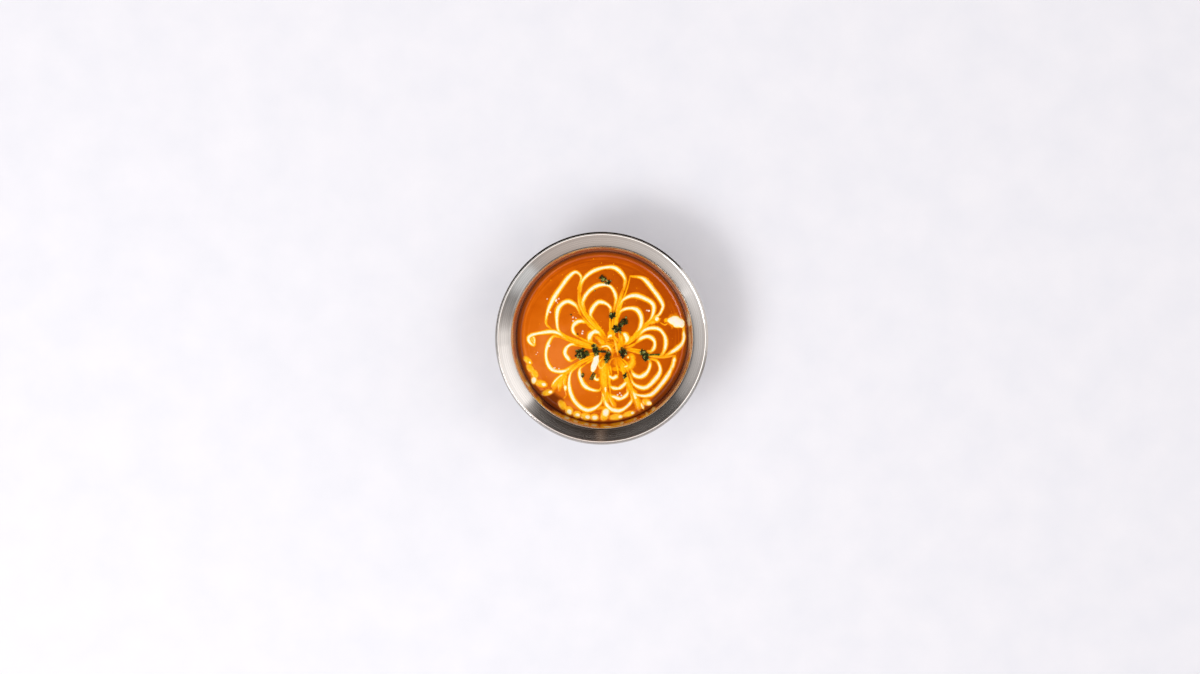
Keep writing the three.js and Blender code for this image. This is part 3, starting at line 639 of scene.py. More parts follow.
def sheet_skin(offset):
    """The profile this far inwards of the sheet's middle."""
    points = [at + inward * offset for at, inward in sheet_line()]
    return [(max(0.0, point.x), point.y) for point in points]


def bead_line():
    """The rolled edge: a round underside, an outer slope and a low crest towards the bowl."""
    middle = (RIM_RADIUS - BEAD_RADIUS, BOWL_HEIGHT - BEAD_RADIUS)
    angles = [math.radians(degrees) for degrees in BEAD_UNDERSIDE]
    under = [(middle[0] + BEAD_RADIUS * math.cos(a), middle[1] + BEAD_RADIUS * math.sin(a)) for a in angles]
    crest = [(RIM_RADIUS - inward, BOWL_HEIGHT - drop) for inward, drop in BEAD_CREST]
    return under + [tuple(point) for point in smooth_path([under[-1], *crest], BEAD_STEP)[1:]]


def spin_profile(profile):
    """Spins a profile of (radius, height) points round the bowl's axis."""
    bm = bmesh.new()
    verts = [bm.verts.new((radius, 0, height)) for radius, height in profile]
    edges = [bm.edges.new(pair) for pair in zip(verts, verts[1:])]
    bmesh.ops.spin(bm, geom=verts + edges, cent=(0, 0, 0), axis=(0, 0, 1), angle=2 * math.pi,
                   steps=SPIN_STEPS, use_merge=True)
    bmesh.ops.remove_doubles(bm, verts=bm.verts, dist=WELD)
    bmesh.ops.recalc_face_normals(bm, faces=bm.faces)
    return bm


def make_bowl():
    inner = sheet_skin(SHEET / 2)
    bm = spin_profile(sheet_skin(-SHEET / 2) + bead_line() + inner[::-1])
    radii, heights = zip(*inner)
    dull = bm.verts.layers.float.new("dull")
    stained = bm.verts.layers.float.new("stained")
    for vert in bm.verts:
        reach = math.hypot(vert.co.x, vert.co.y)
        if reach < np.interp(vert.co.z, heights, radii) + INSIDE_MARGIN:
            vert[dull] = held((DULL_TOP - vert.co.z) / DULL_FADE)
        away = (math.degrees(math.atan2(vert.co.y, vert.co.x)) - STAIN_MIDDLE + 180) % 360 - 180
        splash = SPLASH_STRENGTH * held((SPLASH_TOP - vert.co.z) / SPLASH_FADE)
        stain = math.cos(math.pi / 2 * min(1.0, abs(away) / STAIN_REACH)) ** STAIN_POWER
        vert[stained] = max(splash, stain)
    new_piece("steel_bowl", bm, spun_stainless_steel(), "steel", "bowl")


# ---- Lines of cream ----


def stroke_angle(stroke, radius):
    """The angle at which a skewer stroke passes a radius about FLOWER."""
    outer, half, inner = STROKES[stroke]
    u = min(1.0, max(-RUN_ON, (radius - inner[0]) / (outer[0] - inner[0])))
    return inner[1] * (1 - u) * (1 - 2 * u) + 4 * half * u * (1 - u) + outer[1] * u * (2 * u - 1)


def about_flower(radius, degrees):
    angle = math.radians(degrees)
    return (FLOWER[0] + radius * math.cos(angle), FLOWER[1] + radius * math.sin(angle))


def petal_knots(start, end, clear, radii):
    """The bends of a petal line, from its foot at one stroke to its foot at the next."""
    across = 360 if stroke_angle(end, ROUND_COUNT_RADIUS) < stroke_angle(start, ROUND_COUNT_RADIUS) else 0
    pairs = radii
    if not isinstance(radii[0], tuple):
        foot, *rest, last = radii
        pairs = [(0, foot), (SIDE_STATION, foot + SIDE_SHARE * (rest[0] - foot)), *zip(STATIONS, rest),
                 (1 - SIDE_STATION, last + SIDE_SHARE * (rest[2] - last)), (1, last)]
    knots = []
    for station, radius in pairs:
        low = stroke_angle(start, radius) + math.degrees(clear[0] / radius)
        high = stroke_angle(end, radius) + across - math.degrees(clear[1] / radius)
        knots.append(about_flower(radius, low + (high - low) * station))
    return knots


def smooth_path(knots, spacing=0.9):
    """Points about `spacing` apart on a centripetal Catmull-Rom curve through the knots."""
    knots = np.array(knots, float)
    ends = np.vstack([2 * knots[0] - knots[1], knots, 2 * knots[-1] - knots[-2]])
    points = []
    for p0, p1, p2, p3 in zip(ends, ends[1:], ends[2:], ends[3:]):
        t1 = np.linalg.norm(p1 - p0) ** 0.5
        t2 = t1 + np.linalg.norm(p2 - p1) ** 0.5
        t3 = t2 + np.linalg.norm(p3 - p2) ** 0.5
        for t in np.linspace(t1, t2, 12, endpoint=False):
            a1 = (t1 - t) / t1 * p0 + t / t1 * p1
            a2 = (t2 - t) / (t2 - t1) * p1 + (t - t1) / (t2 - t1) * p2
            a3 = (t3 - t) / (t3 - t2) * p2 + (t - t2) / (t3 - t2) * p3
            b1 = (t2 - t) / t2 * a1 + t / t2 * a2
            b2 = (t3 - t) / (t3 - t1) * a2 + (t - t1) / (t3 - t1) * a3
            points.append((t2 - t) / (t2 - t1) * b1 + (t - t1) / (t2 - t1) * b2)
    points = np.array(points + [knots[-1]])
    steps = np.concatenate([[0], np.cumsum(np.linalg.norm(np.diff(points, axis=0), axis=1))])
    even = np.linspace(0, steps[-1], max(4, int(steps[-1] / spacing)))
    return np.column_stack([np.interp(even, steps, points[:, k]) for k in (0, 1)])


def stroke_path(stroke, outer, inner, knots, beside=0.0):
    """A path between two radii about FLOWER, along a stroke or some degrees beside it."""
    radii = np.linspace(outer, inner, knots)
    return smooth_path([about_flower(radius, stroke_angle(stroke, radius) + beside) for radius in radii])


def near_path(points, path, reach):
    """Which points lie within reach of a path, how far to its left they are and how far along it."""
    low, high = path.min(0) - reach, path.max(0) + reach
    near = np.flatnonzero(((points > low) & (points < high)).all(1))
    start, step = path[:-1], np.diff(path, axis=0)
    away = points[near][:, None] - start[None]
    share = np.clip((away * step).sum(2) / (step ** 2).sum(1), 0, 1)
    distance = np.linalg.norm(away - share[..., None] * step, axis=2)
    best = distance.argmin(1)
    rows = np.arange(len(near))
    left = step[best, 0] * away[rows, best, 1] - step[best, 1] * away[rows, best, 0]
    along = (best + share[rows, best]) / len(step)
    return near, distance[rows, best] * np.sign(left), along


class Skin:
    """The soup's surface while the cream is laid on it: where its points are and what each carries."""

    def __init__(self, points):
        self.points = points
        self.layers = {name: np.zeros(len(points)) for name in SOUP_LAYERS}
        self.rise = np.zeros(len(points))

    def deepen(self, layer, near, values):
        self.layers[layer][near] = np.maximum(self.layers[layer][near], values)

    def lay_line(self, path, width, height, strength=1.0, thin=0.4, seed=0):
        """Lays a line of cream that is `thin` of its width at its ends, and uneven along its length."""
        near, left, along = near_path(self.points, path, width * LINE_REACH)
        swell = np.sin(np.pi * np.clip(along, 0.002, 0.998)) ** 0.65
        full = thin + (1 - thin) * swell
        full = full * (1 + 0.15 * np.sin(7 * along + seed) + 0.09 * np.sin(19 * along + 2 * seed))
        offset = np.abs(left) / (0.5 * width * full)
        # Towards its ends a line is also weaker, as more of it has mixed with the soup.
        lit = strength * np.clip(0.52 + 0.8 * swell ** 1.8, 0, 1)
        self.deepen("cream", near, lit * np.interp(offset, MIX_DISTANCE, MIX_STRENGTH))
        crest = height * full * np.clip(1 - (offset / 0.9) ** 2, 0, 1) ** 1.5
        self.rise[near] = np.maximum(self.rise[near], crest)

    def lay_bed(self, path, width, number):
        """Lays a bed of threads along a stroke. It widens and grows richer to the stroke's inner end."""
        near, left, along = near_path(self.points, path, width)
        half = 0.5 * width * (0.3 + 0.7 * along)
        weight = BED_STRENGTH * np.clip(along * 2.5, 0, 1) * np.clip(2.4 - 2 * along, 0, 1)
        weight *= np.clip(2.0 - 2.0 * np.abs(left) / half, 0, 1)
        richer = weight > self.layers["bed"][near]
        near = near[richer]
        self.layers["bed"][near] = weight[richer]
        self.layers["across"][near] = left[richer] / THREAD_GAP + BED_APART * number
        self.layers["along"][near] = along[richer] * BED_CHANGES

    def lay_drop(self, middle, half, turn, height, share=1.0):
        """Lays a rounded drop of cream that has mixed to yellow."""
        offset = self.offset(middle, half, turn)
        self.deepen("cream", slice(None), share * np.interp(offset, DROP_DISTANCE, DROP_STRENGTH))
        self.rise = np.maximum(self.rise, height * np.sqrt(np.clip(1 - offset ** 2, 0, 1)))

    def lay_spot(self, middle, half, turn):
        """Lays a whiter spot on a drop: whiter cream with a painted highlight."""
        offset = self.offset(middle, half, turn)
        self.deepen("cream", slice(None), np.interp(offset, SPOT_DISTANCE, SPOT_STRENGTH))

    def lay_patch(self, layer, middle, half, turn, strength):
        """Lays a patch that fades out over its outer half."""
        offset = self.offset(middle, half, turn)
        self.deepen(layer, slice(None), strength * np.clip(2.0 - 1.7 * offset, 0, 1))

    def offset(self, middle, half, turn):
        """How far every point is from the middle of an oval, where the oval's edge is at 1."""
        along = np.array([math.cos(turn), math.sin(turn)])
        across = np.array([-along[1], along[0]])
        away = self.points - np.array(middle)
        return np.hypot(away @ along / half[0], away @ across / half[1])


def lay_flower(skin):
    """Lays all the cream that was drawn with the skewer. Each line has a seed of its own."""
    seed = 0
    for start, end, lines in PETALS:
        for clear, radii in lines:
            seed += 1
            knots = petal_knots(start, end, clear, radii)
            skin.lay_line(smooth_path(knots), CREAM_WIDTH, CREAM_HEIGHT, seed=seed)
            lay_feet(skin, start, end, clear, knots, seed)
    for number, (stroke, (width, reach)) in enumerate(STROKE_BEDS.items()):
        seed += 1
        outer, _, inner = STROKES[stroke]
        thread = stroke_path(stroke, outer[0], inner[0], knots=5)
        skin.lay_line(thread, THREAD_WIDTH, THREAD_HEIGHT, strength=THREAD_STRENGTH, seed=seed)
        skin.lay_bed(stroke_path(stroke, reach, BED_END, knots=8), width, number)
    skin.lay_line(smooth_path(TAIL), CREAM_WIDTH, CREAM_HEIGHT, seed=seed)
    for bends, width, strength in SHORT_LINES:
        seed += 1
        # The more of a short line has mixed with the soup, the lower it stands.
        height = 0.1 + 0.2 * strength
        path = smooth_path(bends, spacing=0.5)
        skin.lay_line(path, width, height, strength=strength, thin=0.5, seed=seed)
    for middle, half, turn, strength in CLEAR_PATCHES:
        skin.lay_patch("cream", middle, half, math.radians(turn), strength)
    middle, half, turn, strength = RUN_TOGETHER
    skin.lay_drop(middle, half, math.radians(turn), RUN_TOGETHER_HEIGHT, share=strength)
    for middle, half, turn, strength in SWIRLED_PATCHES:
        skin.lay_patch("marble", middle, half, math.radians(turn), strength)


def lay_feet(skin, start, end, clear, knots, seed):
    """From both feet of a petal line a thin amber thread runs on along the stroke, towards the middle."""
    width, height = FOOT_THREAD
    radius, varied = FOOT_END
    inner = radius + varied * math.sin(seed)
    for stroke, knot, gap in ((start, knots[0], clear[0]), (end, knots[-1], -clear[1])):
        foot = math.dist(knot, FLOWER)
        away = math.dist(knot, about_flower(foot, stroke_angle(stroke, foot)))
        bare = stroke == "east" and gap < 0
        if bare or foot < inner + FOOT_LEAST or away > FOOT_AWAY:
            continue
        path = stroke_path(stroke, foot, inner, knots=6, beside=math.degrees(gap / foot))
        skin.lay_line(path, width, height, strength=AMBER, thin=0.6, seed=seed)


def lay_wall_drops(skin):
    for x, y, length, width, direction, spot_place, spot in EDGE_DROPS:
        turn = math.radians(direction)
        skin.lay_drop((x, y), (length / 2, width / 2), turn, DROP_HEIGHT)
        # Its whiter spot is whiter cream with a painted highlight.
        if spot:
            out = spot_place * length / 2
            middle = (x + out * math.cos(turn), y + out * math.sin(turn))
            skin.lay_spot(middle, (spot * SPOT_SHAPE[0], spot * SPOT_SHAPE[1]), turn)


# ---- Soup ----


def soup_skin_line():
    """The soup's outline against the bowl: from the meniscus top down to the middle of the bottom."""
    top = SOUP_LEVEL + SKIN_STEP + MENISCUS_RISE
    skin = sheet_skin(SHEET / 2 + GAP)
    dipped = [point for point in skin if point[1] < top]
    below, above = dipped[-1], skin[len(dipped)]
    share = (top - below[1]) / (above[1] - below[1])
    edge = below[0] + share * (above[0] - below[0])
    return edge, dipped


def edge_height(out):
    """The soup's height this far from the wall: the step of its skin, then the meniscus."""
    step = held((STEP_FROM - out) / (STEP_FROM - STEP_TO))
    creep = max(0.0, 1 - out / MENISCUS_WIDTH)
    return SOUP_LEVEL + SKIN_STEP * step * step * (3 - 2 * step) + MENISCUS_RISE * creep ** 2


def grow_ring(bm, edges, radius, height):
    """Extrudes the open edge outwards or downwards to a new radius and height."""
    grown = bmesh.ops.extrude_edge_only(bm, edges=edges)
    for vert in only(bmesh.types.BMVert, grown):
        reach = math.hypot(vert.co.x, vert.co.y)
        vert.co = (vert.co.x * radius / reach, vert.co.y * radius / reach, height)
    return only(bmesh.types.BMEdge, grown)


def make_soup(material):
    edge, dipped = soup_skin_line()
    flat = edge - STEP_FROM
    bm = bmesh.new()
    bmesh.ops.create_grid(bm, x_segments=SOUP_CELLS, y_segments=SOUP_CELLS, size=1.0)
    for vert in bm.verts:
        x, y = vert.co.x, vert.co.y
        vert.co = (flat * x * math.sqrt(1 - y * y / 2), flat * y * math.sqrt(1 - x * x / 2), SOUP_LEVEL)
    ring = [e for e in bm.edges if e.is_boundary]
    for out in EDGE_RINGS:
        ring = grow_ring(bm, ring, edge - out, edge_height(out))
    shown = len(bm.verts)
    for radius, height in dipped[::-HIDDEN_STEP]:
        if radius > LAST_RING:
            ring = grow_ring(bm, ring, radius, height)
    bmesh.ops.edgeloop_fill(bm, edges=ring)
    bmesh.ops.recalc_face_normals(bm, faces=bm.faces)
    dress_surface(bm, shown, edge)
    new_piece("soup_with_cream", bm, material, "soup", "soup")


def dress_surface(bm, shown, edge):
    """Lays the cream on the soup's surface, as relief and as what its material mixes by."""
    points = np.array([vert.co[:2] for vert in bm.verts])
    reach = np.hypot(points[:, 0], points[:, 1])
    inside = edge - reach
    skin = Skin(points)
    lay_flower(skin)
    lay_wall_drops(skin)
    for bends, _, seep, _ in GATHERINGS.values():
        skin.lay_line(smooth_path(bends), seep, 0.0, strength=AMBER)
    # Beside the wall the soup carries oil and painted shade from the wall as a band, and painted shade as a
    # dark rim at the meniscus; both lie beside the cream.
    angle = np.degrees(np.arctan2(points[:, 1], points[:, 0])) % 360
    angles, widths, strengths = zip(*BROWN_BAND)
    width = np.interp(angle, angles, widths)
    strength = np.interp(angle, angles, strengths)
    band = strength * np.clip((width - inside) / (0.3 * width), 0, 1)
    rim = (0.3 + strength) * np.clip(1.7 - 1.3 * inside, 0, 1)
    clear = np.clip(1 - 1.4 * skin.layers["cream"], 0, 1)
    skin.layers["film_and_shade"] = np.clip(np.maximum(band, rim), 0, 1) * clear
    # Painted paler towards the key light and round PALE_MIDDLE: partly painted light and sheen, partly
    # cream.
    middle = np.exp(-((points - np.array(PALE_MIDDLE)) ** 2).sum(1) / PALE_REACH ** 2)
    sideways = points @ np.array(PALE_WAY) / PALE_FALL
    outer = np.clip((reach - OUTER_FROM) / OUTER_OVER, 0, 1)
    skin.layers["pale"] = BASE_TONE + sideways + PALER * middle - DEEPER * outer
    layers = {name: bm.verts.layers.float.new(name) for name in SOUP_LAYERS}
    fade = np.clip(inside / SMOOTH_EDGE, 0, 1)
    for index, vert in enumerate(bm.verts):
        if index < shown:
            vert.co.z += skin.rise[index] * fade[index]
        for name, layer in layers.items():
            vert[layer] = float(skin.layers[name][index])


# ---- Gathered cream ----


def ringed_disc(radius, corners, rings, apart):
    """A disc with this many rings inside its edge, `apart` from each other, and a corner in the middle."""
    bm = bmesh.new()
    bmesh.ops.create_circle(bm, cap_ends=True, segments=corners, radius=radius)
    inner = bm.faces[:]
    for _ in range(rings):
        bmesh.ops.inset_region(bm, faces=inner, thickness=apart, use_boundary=True)
    bmesh.ops.poke(bm, faces=inner)
    return bm


def make_gathering(node, bends, widths, seed, material):
    """A low rounded gathering of cream that lies on the soup along its bends."""
    draw = random.Random(seed)
    waves = [(k, draw.uniform(0.05, 0.1), draw.uniform(*ANY_WAY)) for k in (3, 5, 8)]
    path = smooth_path(bends, spacing=0.3)
    shares = np.linspace(0, 1, len(path))
    ways = np.gradient(path, axis=0)
    ways /= np.linalg.norm(ways, axis=1)[:, None]
    bm = ringed_disc(1.0, GATHERED_CORNERS, GATHERED_RINGS, apart=0.1)
    layers = {name: bm.verts.layers.float.new(name) for name in SOUP_LAYERS}
    for vert in bm.verts:
        u, v = vert.co.x, vert.co.y
        share = min(1.0, math.hypot(u, v))
        angle = math.atan2(v, u)
        wobble = 1 + sum(size * math.sin(k * angle + start) for k, size, start in waves)
        at = 0.5 + 0.5 * math.sin(math.pi / 2 * u)
        half = float(np.interp(at, np.linspace(0, 1, len(widths)), widths)) * wobble
        spot = [float(np.interp(at, shares, path[:, k])) for k in (0, 1)]
        way = [float(np.interp(at, shares, ways[:, k])) for k in (0, 1)]
        uneven = 0.06 * math.sin(2.1 * spot[0] + 1.3 * v) + 0.05 * math.sin(1.7 * spot[1] - v)
        lift = (GATHERED_TOP + uneven) * (1 - share ** 2.4) ** 0.6
        vert[layers["cream"]] = float(np.interp(share, GATHERED_DISTANCE, GATHERED_STRENGTH))
        vert.co = (spot[0] - way[1] * v * half, spot[1] + way[0] * v * half, SOUP_LEVEL + lift)
    skirt = bmesh.ops.extrude_edge_only(bm, edges=[e for e in bm.edges if e.is_boundary])
    for vert in only(bmesh.types.BMVert, skirt):
        vert.co.z -= GATHERED_SUNK
    bmesh.ops.edgeloop_fill(bm, edges=only(bmesh.types.BMEdge, skirt))
    bmesh.ops.recalc_face_normals(bm, faces=bm.faces)
    new_piece(node + "_top", bm, material, "cream", node)


# ---- Chopped herbs ----


def add_scrap(target, size, place, draw):
    """Adds one scrap of leaf to a bmesh: a toothed, lobed outline, chopped off at an end or two, then
    folded along its rib, ruffled and curled."""
    bm = ringed_disc(0.5, LEAF_CORNERS, rings=2, apart=0.16)
    lobes, start = draw.choice(LOBES), draw.uniform(*ANY_WAY)
    depth, slim = draw.uniform(*LOBE_DEPTH), draw.uniform(*SLIMNESS)
    for index, vert in enumerate(bm.verts):
        angle = math.atan2(vert.co.y, vert.co.x)
        notch = 1 - depth * (0.5 - 0.5 * math.cos(lobes * angle + start)) ** 0.8
        # Every second corner of the outline, which has the first LEAF_CORNERS corners, is a tooth.
        tooth = TOOTH if index < LEAF_CORNERS and index % 2 else 0.0
        jagged = 1 + tooth + draw.uniform(-RAGGEDNESS, RAGGEDNESS)
        vert.co.x *= notch * jagged
        vert.co.y *= notch * jagged * slim
    for _ in range(draw.choice(CHOPS)):
        cut_way = draw.uniform(*ANY_WAY)
        chop = Vector((math.cos(cut_way), math.sin(cut_way), 0))
        bmesh.ops.bisect_plane(bm, geom=bm.verts[:] + bm.edges[:] + bm.faces[:], plane_no=chop,
                               plane_co=chop * draw.uniform(*CHOP_PLACE), clear_outer=True)
    fold, curl = draw.uniform(*FOLD), draw.uniform(*CURL)
    ruffle, waves, shift = draw.uniform(*RUFFLE), draw.choice(RUFFLES), draw.uniform(*ANY_WAY)
    for vert in bm.verts:
        x, y = vert.co.x, vert.co.y
        edge = min(1.0, 2 * math.hypot(x, y))
        vert.co.z = (fold * abs(y) + curl * x * x
                     + ruffle * edge ** 2 * math.sin(waves * math.atan2(y, x) + shift))
    bmesh.ops.recalc_face_normals(bm, faces=bm.faces)
    bmesh.ops.solidify(bm, geom=bm.faces[:], thickness=LEAF_THICKNESS / size)
    leaf = bm.verts.layers.float_vector.new("leaf")
    shade = draw.choice(LEAF_SHADES)
    for vert in bm.verts:
        vert[leaf] = (vert.co.x, vert.co.y, shade)
    bmesh.ops.scale(bm, vec=(size, size, size), verts=bm.verts)
    bmesh.ops.transform(bm, matrix=place, verts=bm.verts)
    join_to(target, bm)


def fill_clump(target, clump, seed):
    """Heaps leaf scraps in a clump's outline: the first lie flat at its edge, the last on top."""
    middle, half, turn, scraps = clump
    draw = random.Random(seed)
    base = Matrix.Translation((*middle, SOUP_LEVEL)) @ Matrix.Rotation(math.radians(turn), 4, "Z")
    for i in range(scraps):
        level = i / scraps
        out = math.sqrt(1 - level)
        size = min(draw.uniform(*SCRAP_SIZES) * (1 - 0.25 * out), 1.6 * half[1])
        angle = SCRAP_TURN * i + draw.uniform(-0.5, 0.5)
        reach = out * draw.uniform(0.8, 1.05)
        spot = ((half[0] - 0.3 * size) * reach * math.cos(angle),
                (half[1] - 0.3 * size) * reach * math.sin(angle),
                LOWEST_SCRAP + HEAP_HEIGHT * level * min(1.0, half[1] / FULL_HEAP))
        tip = 0.3 + 0.5 * level
        place = base @ Matrix.Translation(spot) @ Matrix.Rotation(draw.uniform(*ANY_WAY), 4, "Z")
        place = place @ Matrix.Rotation(draw.uniform(-tip, tip), 4, "X")
        place = place @ Matrix.Rotation(draw.uniform(-tip, tip), 4, "Y")
        add_scrap(target, size, place, draw)


def empty_leaf_mesh():
    bm = bmesh.new()
    bm.verts.layers.float_vector.new("leaf")
    return bm


def add_stem(target, ends, lift, seed):
    """Adds a cut stem: a slightly bent rod with flat ends."""
    start, end = (Vector((*point, SOUP_LEVEL + STEM_RADIUS / 2 + lift)) for point in ends)
    way = end - start
    bm = bmesh.new()
    bmesh.ops.create_cone(bm, cap_ends=True, segments=10, radius1=STEM_RADIUS,
                          radius2=STEM_RADIUS * STEM_TAPER, depth=way.length)
    long_edges = [e for e in bm.edges if abs(e.verts[0].co.z - e.verts[1].co.z) > 0.5 * way.length]
    bmesh.ops.subdivide_edges(bm, edges=long_edges, cuts=7)
    for vert in bm.verts:
        along = vert.co.z / way.length
        vert.co.x += 0.03 * way.length * math.cos(math.pi * along) + 0.05 * math.sin(9 * along + seed)
    turn = Vector((0, 0, 1)).rotation_difference(way).to_matrix().to_4x4()
    bmesh.ops.transform(bm, matrix=Matrix.Translation((start + end) / 2) @ turn, verts=bm.verts)
    join_to(target, bm)


def make_herbs():
    leaf, stalk = chopped_herb(), cut_stem()
    for index, (node, clump) in enumerate(LARGE_CLUMPS.items()):
        bm = empty_leaf_mesh()
        fill_clump(bm, clump, LARGE_SEED + index)
        new_piece(node + "_leaves", bm, leaf, "herb", node)
    small = empty_leaf_mesh()
    for index, clump in enumerate(SMALL_CLUMPS):
        fill_clump(small, clump, SMALL_SEED + index)
    new_piece("scattered_leaves", small, leaf, "herb")
    stems = bmesh.new()
    for index, ends in enumerate(CLUMP_STEMS.values()):
        add_stem(stems, ends, STEM_LIFT, index)
    for index, ends in enumerate(LOOSE_STEMS):
        add_stem(stems, ends, 0.0, LOOSE_SEED + index)
    new_piece("cut_stems", stems, stalk, "herb")


# ---- Froth ----
# Groups of bubbles on the soup: middle, how many, and how far they spread.
FROTH_GROUPS = [
    ((-36.4, 25.5), 1, 0), ((-28.5, 24.7), 5, 2.2), ((-18.9, 12.4), 4, 1.8), ((-12.0, 3.0), 3, 1.4),
    ((-34.2, -5.8), 2, 1.0), ((-43.0, -10.7), 2, 0.8), ((-30.2, -20.6), 5, 1.8), ((30.3, 18.3), 2, 0.8),
    ((11.6, -37.8), 3, 1.4), ((-39.0, -32.0), 2, 1.0), ((17.0, -45.0), 1, 0.3), ((-34.0, 17.0), 2, 1.5),
]
BUBBLE_SIZES = (0.3, 0.75)
BUBBLE_SUNK = 0.25  # of its radius
FROTH_SEED = 9


def make_froth():
    draw = random.Random(FROTH_SEED)
    bm = bmesh.new()
    for middle, count, reach in FROTH_GROUPS:
        for _ in range(count):
            radius = draw.uniform(*BUBBLE_SIZES)
            spot = (middle[0] + draw.uniform(-reach, reach), middle[1] + draw.uniform(-reach, reach),
                    SOUP_LEVEL - BUBBLE_SUNK * radius)
            bmesh.ops.create_icosphere(bm, subdivisions=3, radius=radius, matrix=Matrix.Translation(spot))
    new_piece("froth_bubbles", bm, froth(), "soup")


# ---- Stage ----
CAMERA_DISTANCE = 1.0917
CAMERA_TILT = (1.6, 3.5)  # degrees towards +X and +Y
CAMERA_AIM = (-0.96, 1.12)  # what it looks at, at the height of the rim
FLOOR_HALF = 4.0

# What stands round the table, by compass angle: its brightness just above the table, at 25 degrees up,
# at 36 degrees and in the bright ring from 46 to 64 degrees, and how warm it is.
SURROUNDINGS = [
    (0, 1.1, 1.05, 1.35, 2.2, 0.3), (15, 1.1, 1.2, 1.45, 2.2, 0.2), (30, 1.1, 1.27, 1.5, 2.2, 0.2),
    (38, 1.1, 1.2, 1.45, 2.2, 0.2), (41.5, 0.1, 0.43, 0.42, 2.0, 0.5), (48, 0.03, 0.24, 0.15, 1.9, 0.8),
    (60, 0.03, 0.2, 0.07, 1.9, 1.2), (87, 0.03, 0.1, 0.04, 1.9, 2.2), (91, 0.03, 0.2, 0.24, 1.9, 2.6),
    (96, 0.03, 0.1, 0.05, 1.9, 1.8), (120, 0.03, 0.15, 0.11, 1.9, 0.8), (134, 0.03, 0.12, 0.1, 1.9, 0.6),
    (145, 0.03, 0.16, 0.16, 2.0, 0.4), (149, 0.05, 0.26, 0.36, 2.6, 0.3), (160, 0.15, 0.4, 0.58, 2.7, 0.3),
    (168, 0.15, 0.4, 0.64, 2.7, 0.3), (180, 0.2, 0.5, 0.78, 2.6, 0.3), (196, 0.3, 0.68, 0.86, 2.4, 0.3),
    (208, 0.3, 1.0, 0.94, 2.4, 0.2), (211, 0.3, 1.6, 1.0, 2.4, 0.2), (215, 0.3, 0.9, 0.96, 2.4, 0.2),
    (230, 0.2, 0.8, 0.9, 2.5, 0.4), (244, 0.2, 0.8, 0.82, 2.3, 0.5), (262, 0.2, 0.8, 0.76, 2.1, 0.8),
    (300, 0.2, 0.76, 0.65, 2.0, 1.0), (308, 0.3, 0.74, 0.58, 1.9, 0.6), (312, 0.5, 1.0, 0.86, 1.9, -0.2),
    (323, 0.5, 0.95, 0.76, 1.9, -0.2), (331, 0.5, 0.7, 0.34, 1.9, 0.2), (342, 0.4, 0.55, 0.48, 1.9, 0.5),
    (348, 0.8, 0.7, 0.74, 1.9, 0.4), (353, 1.1, 0.95, 1.15, 2.0, 0.3),
]
BRIGHT_RING = 4  # its column in SURROUNDINGS
# The column of each higher ring and where it takes over from the one below, as heights on a unit sphere,
# then where the ceiling takes over from the highest.
RING_STEPS = ((2, 0.24, 0.36), (3, 0.46, 0.54), (BRIGHT_RING, 0.7, 0.74))
CEILING_STEP = (0.87, 0.91)
CEILING = (0.16, 0.155, 0.15, 1)
# The dark opening, 3 degrees off straight up: its direction and the cosines where it begins and is whole.
OPENING_WAY = (0.03, 0.04, 0.9988)
OPENING_STEP = (0.945, 0.965)
OPENING = (0.02, 0.02, 0.02, 1)
SKY_STRENGTH = 2.95


def make_floor():
    """A plain pale floor with a faint grain."""
    bm = bmesh.new()
    bmesh.ops.create_grid(bm, x_segments=1, y_segments=1, size=FLOOR_HALF)
    mesh = new_mesh("floor", bm)
    stops = [(0.3, srgb("e8e9f1")), (0.7, srgb("ededf4"))]
    mesh.materials.append(varied_material("pale floor", 30, 4.0, stops, {"Roughness": 0.8}))
    floor = new_object("floor", mesh)


def ring_of_light(tree, share, column):
    """One ring of the surroundings, as a ramp round the compass. A third as bright, as ramps stop at 1."""
    stops = []
    for row in SURROUNDINGS:
        level = row[column] / 3
        warmth = row[5] * (0.4 if column == BRIGHT_RING else 1.0)
        stops.append((row[0] / 360, (level, level * (1 - 0.12 * warmth), level * (1 - 0.19 * warmth), 1)))
    return add(tree, "ValToRGB", {0: share}, stops)


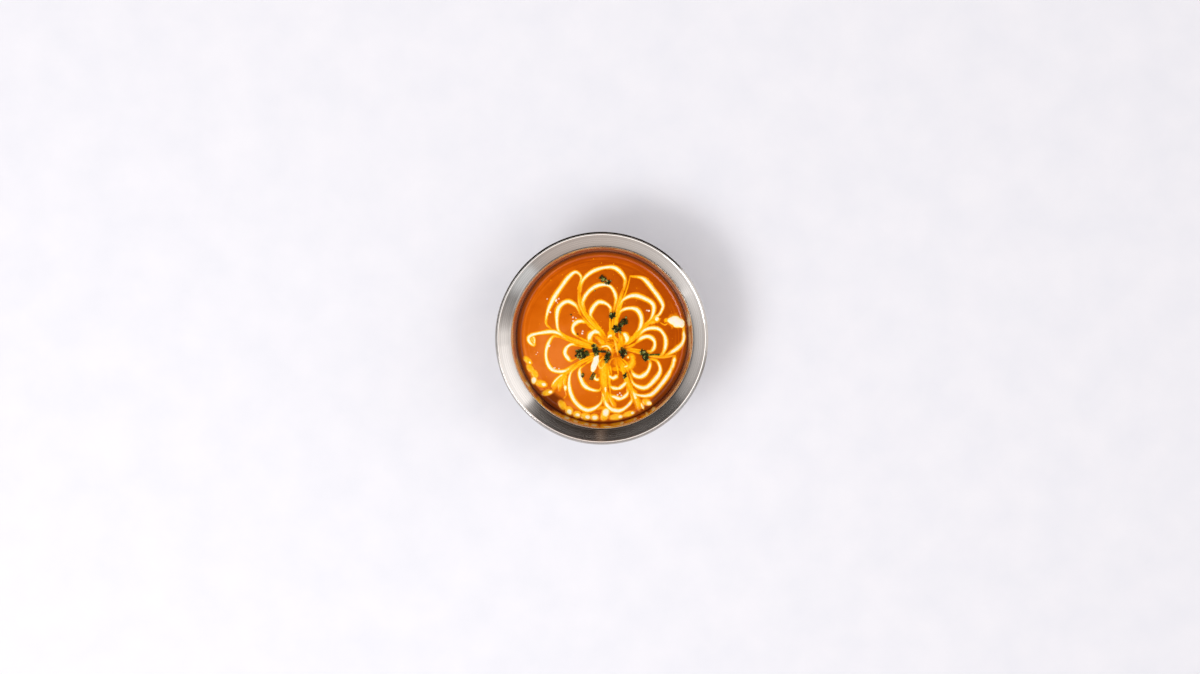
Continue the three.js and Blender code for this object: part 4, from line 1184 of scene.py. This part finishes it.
def make_world():
    """Soft studio light from all round: cards and dark gaps in rings above the table, a broad bright
    ring higher up, and a dark opening almost straight up."""
    world = bpy.data.worlds.new("studio")
    bpy.context.scene.world = world
    world.use_nodes = True
    tree = world.node_tree
    tree.nodes.clear()
    way = add(tree, "TexCoord").outputs["Generated"]
    parts = add(tree, "SeparateXYZ", {0: way}).outputs
    angle = add(tree, "Math", {0: parts["Y"], 1: parts["X"]}, operation="ARCTAN2")
    turn = add(tree, "Math", {0: angle, 1: 2 * math.pi}, operation="DIVIDE")
    whole = add(tree, "Math", {0: turn, 1: 1.0}, operation="ADD")
    share = add(tree, "Math", {0: whole}, operation="FRACT")
    sky = ring_of_light(tree, share, 1)
    for column, low, high in RING_STEPS:
        step = add(tree, "MapRange", {0: parts["Z"], 1: low, 2: high})
        sky = add(tree, "Mix", {0: step, 6: sky, 7: ring_of_light(tree, share, column)},
                  data_type="RGBA").outputs[2]
    above = add(tree, "MapRange", {0: parts["Z"], 1: CEILING_STEP[0], 2: CEILING_STEP[1]})
    sky = add(tree, "Mix", {0: above, 6: sky, 7: CEILING}, data_type="RGBA").outputs[2]
    opening = add(tree, "VectorMath", {0: way, 1: OPENING_WAY}, operation="DOT_PRODUCT").outputs["Value"]
    top = add(tree, "MapRange", {0: opening, 1: OPENING_STEP[0], 2: OPENING_STEP[1]})
    sky = add(tree, "Mix", {0: top, 6: sky, 7: OPENING}, data_type="RGBA").outputs[2]
    light = add(tree, "Background", {"Color": sky, "Strength": SKY_STRENGTH})
    add(tree, "OutputWorld", {"Surface": light})


def add_softbox(name, degrees, elevation, distance, size, power):
    """A round soft light aimed at the bowl."""
    lamp = bpy.data.lights.new(name, "AREA")
    lamp.shape = "DISK"
    lamp.size = size
    lamp.energy = power
    rise, angle = math.radians(elevation), math.radians(degrees)
    at = Vector((math.cos(rise) * math.cos(angle), math.cos(rise) * math.sin(angle), math.sin(rise)))
    holder = new_object(name, lamp)
    holder.location = at * distance
    holder.rotation_euler = (-at).to_track_quat("-Z", "Y").to_euler()


def make_camera():
    lens = bpy.data.cameras.new("camera")
    lens.lens = 50
    lens.sensor_width = 36
    camera = new_object("camera", lens)
    right, up = (math.sin(math.radians(tilt)) for tilt in CAMERA_TILT)
    away = Vector((right, up, math.sqrt(1 - right ** 2 - up ** 2)))
    aim = Vector([value * MM for value in (*CAMERA_AIM, BOWL_HEIGHT)])
    camera.location = aim + away * CAMERA_DISTANCE
    across = Vector((0, 1, 0)).cross(away).normalized()
    camera.rotation_euler = Matrix((across, away.cross(across), away)).transposed().to_euler()
    bpy.context.scene.camera = camera


make_camera()
make_world()
make_floor()
add_softbox("key", degrees=215, elevation=56, distance=1.5, size=0.6, power=5.6)
bpy.context.scene.view_settings.view_transform = "Standard"

make_bowl()
make_soup(tomato_soup("tomato soup"))
poured = tomato_soup("poured cream")
for gathered, (bends, widths, _, seed) in GATHERINGS.items():
    make_gathering(gathered, bends, widths, seed, poured)
make_herbs()
make_froth()
